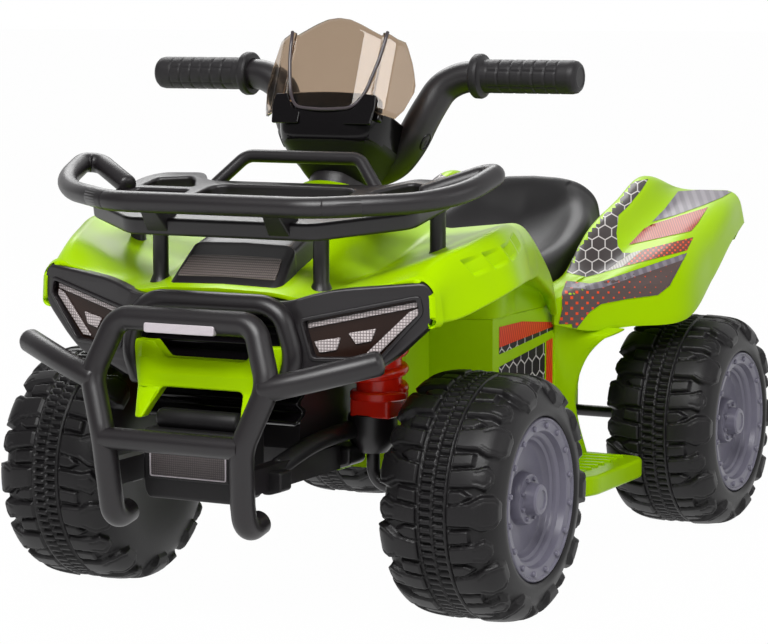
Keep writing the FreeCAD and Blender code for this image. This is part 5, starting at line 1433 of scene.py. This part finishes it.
photoView = {"place": (0.99015, -1.94427, 0.44533), "azimuth": 27.21, "down": 6.58, "lens": 125.65,
             "sensor": 36.0, "width": 768, "height": 644}
filmOutlines = {   # in photograph pixels, laid on the skin along the camera's rays
    "finComb": (combFilm, [
        (566.5, 272.6), (576.4, 250.8), (585.1, 233.3), (598.2, 215.2), (612.7, 198.4), (630.9, 182.4),
        (648.3, 179.1), (641.8, 189.7), (627.2, 207.2), (618.5, 215.2), (616.3, 233.3), (617.8, 246.4),
        (622.9, 253), (630.9, 253), (604, 272.6), (586.5, 277)]),
    "finWedge": (paleHatch, [(604.6, 272), (631.6, 253), (643.6, 249.6), (621.8, 267.3)]),
    "wingDots": (smallDots, [(622.4, 266.9), (644.6, 249.4), (693.4, 237.3), (686.9, 250.5)]),
    "wingGrey": (greyHatch, [
        (652, 222), (665.1, 208.6), (678.1, 191.5), (700, 190), (733.4, 190.9), (721.8, 197.7), (704.3, 205),
        (673.8, 215.9)]),
    "wingSalmon": (salmonHatch, [
        (628.7, 245), (644, 229), (652, 224.5), (704.3, 208.6), (708, 207.2), (697.8, 223.2), (691.2, 231.2),
        (668, 236.3)]),
    "sideDots": (bigDots, [
        (566.2, 281.3), (576.4, 282), (589.4, 283.9), (602.5, 281.3), (686.9, 253), (669.4, 285.7),
        (657.8, 294.9), (627.2, 298.8), (601.1, 303.9), (589.4, 311.9), (570.5, 335.9), (555.7, 336.3),
        (561.8, 310.4), (561.8, 293)]),
    "sideBand": (greyHatch, [
        (566.4, 281.6), (576.4, 282.3), (589.4, 284.2), (602.5, 281.6), (686.6, 253.4), (683, 260),
        (604, 287.5),
        (589.4, 290.2), (576.4, 288.3), (566, 287.6)]),
}
filmSheet = {"columns": range(540, 769, 4), "rows": range(160, 345, 4), "corner": (540, 345),
             "inner": 0.062, "edge": 0.03,   # kept on the fins, bridging no drop
             "lift": 0.00018, "layer": 0.00004}
legFilms = {   # distance behind the axle and height, on the flat of the leg panel
    "legBand": (orangeHatch, [(153, 13.5), (197, 13.5), (256, 7), (261, 1.5), (153, -8)], 0.25),
    "legDark": (legComb, [(153, -3), (261, 3), (261, 0.5), (153, -8.5)], 0.35),
    "legComb": (legComb, [(153, -18.5), (243, -8.5), (243, -46), (153, -62)], 0.25),
    "legStripe": (orangeHatch, [(246, -8), (259, -6.5), (259, -46), (246, -46)], 0.25),
}
legPanel = 105   # half width of the body at the panels


def cameraAxes():
    azimuth, down = radians(photoView["azimuth"]), radians(photoView["down"])
    ahead = Vector((-sin(azimuth) * cos(down), cos(azimuth) * cos(down), -sin(down)))
    right = Vector((cos(azimuth), sin(azimuth), 0))
    return ahead, right, right.cross(ahead)


def flatSheet(outline, columns=(), rows=()):   # a flat filled outline cut into cells
    sheet = bmesh.new()
    loop = [sheet.verts.new((x, y, 0)) for x, y in outline]
    edges = [sheet.edges.new((a, b)) for a, b in zip(loop, loop[1:] + loop[:1])]
    bmesh.ops.triangle_fill(sheet, use_beauty=True, use_dissolve=False, edges=edges)
    for place in columns:
        bisected(sheet, (place, 0, 0), (1, 0, 0))
    for place in rows:
        bisected(sheet, (0, place, 0), (0, 1, 0))
    sheet.verts.index_update()
    return sheet


def filmPiece(name, points, faces, spread, material):
    mesh = newPiece(name, points, faces, material).data
    layer = mesh.uv_layers.new(name="film")
    for loop in mesh.loops:
        layer.data[loop.index].uv = spread[loop.vertex_index]


def tailFilm(name, material, outline, tree, lift):
    sheet = flatSheet(outline, filmSheet["columns"], filmSheet["rows"])
    ahead, right, up = cameraAxes()
    width, height = photoView["width"], photoView["height"]
    focal = photoView["lens"] / photoView["sensor"] * width
    points, spread, kept = [], [], {}
    for vert in sheet.verts:
        px, py = vert.co.x, vert.co.y
        aim = (ahead + right * ((px - width / 2) / focal) + up * ((height / 2 - py) / focal)).normalized()
        hit, normal = tree.ray_cast(Vector(photoView["place"]), aim)[:2]
        if hit is not None and hit.x > filmSheet["inner"]:
            kept[vert.index] = len(points)
            points.append(hit - aim * lift + (normal if normal.dot(aim) < 0 else -normal) * lift)
            spread.append((px - filmSheet["corner"][0], filmSheet["corner"][1] - py))
    whole = [face for face in sheet.faces if all(v.index in kept for v in face.verts)]
    faces = [tuple(kept[v.index] for v in face.verts) for face in whole]
    sheet.free()

    def short(face):
        return all((points[a] - points[b]).length < filmSheet["edge"] for a,
                   b in zip(face, face[1:] + face[:1]))

    faces = [face for face in faces if short(face)]
    filmPiece(f"{name}_left", points, faces, spread, material)
    filmPiece(f"{name}_right", flipped(points), turned(faces), spread, material)


def printedFilms():
    tree = BVHTree.FromObject(tail, bpy.context.evaluated_depsgraph_get())
    for i, (name, (material, outline)) in enumerate(filmOutlines.items()):
        tailFilm(name, material, outline, tree, filmSheet["lift"] + filmSheet["layer"] * i)
    for name, (material, outline, lift) in legFilms.items():
        for side, sign in sides.items():
            sheet = flatSheet(outline)
            spread = [(v.co.x, v.co.y) for v in sheet.verts]
            points = [bodyPoint(sign * (legPanel + lift), *place) for place in spread]
            faces = [tuple(v.index for v in face.verts) for face in sheet.faces]
            filmPiece(f"{name}_{side}", points, faces, spread, material)
            sheet.free()


printedFilms()
print("films laid")


# CAD pieces that keep their shape: eased edges and a finish

plainFinish = [
    (lime, ["footboard_right"]),
    (black, ["stub_axle_left", "stub_axle_right", "tie_rod", "accelerator_pedal", "bumper_hoop",
             "bumper_crossbar", "rear_axle", "subframe_straps", "rack_hoop", "gearbox_case", "gearbox_cover",
             "battery", "charge_socket", "direction_switch"]),
    (red, ["horn_button", "music_button"]),
    (gearWhite, ["drive_gear", "idler_gear", "motor_pinion"]),
    (steel, ["steering_column", "rear_axle_nuts", "gearbox_screws", "drive_motor"]),
]
easedEdges = {"footboard_right": 0.003, "battery": 0.0015, "accelerator_pedal": 0.001, "gearbox_case": 0.0025,
              "gearbox_cover": 0.0008, "bumper_hoop": 0.004}
for finish, names in plainFinish:
    for name in names:
        node = nodes[name]
        node.data.materials.clear()
        node.data.materials.append(finish)
        if name in easedEdges:
            modifier(node, "WELD", merge_threshold=tubSizes["weld"])
            bevel(node, easedEdges[name], 28, 3, True)
print("kept pieces finished")


# pieces whose faces were wound inward

inward = ["gripSleeve", "lampStrip1", "rackBracket", "shockCore", "tyreTread_front", "tyreTread_rear"]
inwardPieces = [f"{name}_{side}" for name in inward for side in sides]
inwardPieces += ["mouthBack", "towLug_right", "headShoulder_right"]
for mesh in {bpy.data.objects[name].data for name in inwardPieces}:   # the tyres share one
    mesh.flip_normals()
print("faces turned outward")


# studio

studio = {
    "ambient": 0.24, "floor": (0.72, 0.72, 0.72), "reach": 60.0, "cover": 0.988,
    "boxes": {   # place, aim, size, power
        "keyBox": ((0.4, -2.2, 2.4), (0, -0.1, 0.2), (1.8, 1.2), 92.0),
        "fillBox": ((2.4, -0.6, 1.2), (0, 0, 0.2), (1.4, 1.4), 12.0),
        "rimBox": ((-1.2, 1.6, 2.0), (0, 0, 0.25), (1.6, 1.0), 30.0),
    },
}


def aimed(name, data, place, direction):
    thing = bpy.data.objects.new(name, data)
    scene.collection.objects.link(thing)
    thing.location = place
    thing.rotation_euler = direction.to_track_quat("-Z", "Y").to_euler()
    return thing


def softbox(name, place, aim, size, power):
    lamp = bpy.data.lights.new(name, "AREA")
    lamp.shape = "RECTANGLE"
    lamp.size, lamp.size_y = size
    lamp.energy = power
    aimed(name, lamp, place, Vector(aim) - Vector(place))


def studioFloor():
    size = studio["reach"]
    mesh = bpy.data.meshes.new("studioFloor")
    mesh.from_pydata([(-size, -size, 0), (size, -size, 0), (size, size, 0), (-size, size, 0)], [],
                     [(0, 1, 2, 3)])
    floor = bpy.data.objects.new("studioFloor", mesh)
    scene.collection.objects.link(floor)
    paint = Paint("paleFloor", Roughness=0.9, Specular_IOR_Level=0.1, Base_Color=studio["floor"])
    seen = paint.ray("Camera") + paint.ray("Glossy") + paint.ray("Transmission")
    glow = paint.node("ShaderNodeEmission", {"Color": (1, 1, 1), "Strength": 1.0})
    lit = Wire(paint, paint.shader.outputs[0])
    cover = paint.node("ShaderNodeMixShader", {0: seen.clip() * studio["cover"], 1: lit, 2: glow})
    paint.feed(paint.tree.nodes["Material Output"].inputs["Surface"], cover)
    mesh.materials.append(paint.material)


def studioWorld():   # white to the camera, dim to the parts, the backdrop mirrored in their tops
    scene.world = bpy.data.worlds.new("studio")
    scene.world.use_nodes = True
    paint = Paint("studio", scene.world.node_tree, "Background", Color=(1, 1, 1))
    ambient = studio["ambient"]
    rearward = paint.axis(paint.place("Generated"), "Y")
    behind = paint.node("ShaderNodeMapRange", {"Value": rearward, "From Max": 0.5, "To Min": ambient})
    mirrored = paint.node("ShaderNodeMix", {0: paint.ray("Glossy"), 2: ambient, 3: behind})
    seen = paint.ray("Camera").most(paint.ray("Transmission"))
    paint.give(Strength=paint.node("ShaderNodeMix", {0: seen, 2: mirrored, 3: 1.0}))


def photoCamera():
    data = bpy.data.cameras.new("photoCamera")
    data.sensor_width = photoView["sensor"]
    data.lens = photoView["lens"]
    scene.camera = aimed("photoCamera", data, photoView["place"], cameraAxes()[0])


for name, box in studio["boxes"].items():
    softbox(name, *box)
studioFloor()
studioWorld()
photoCamera()
scene.view_settings.view_transform = "Standard"
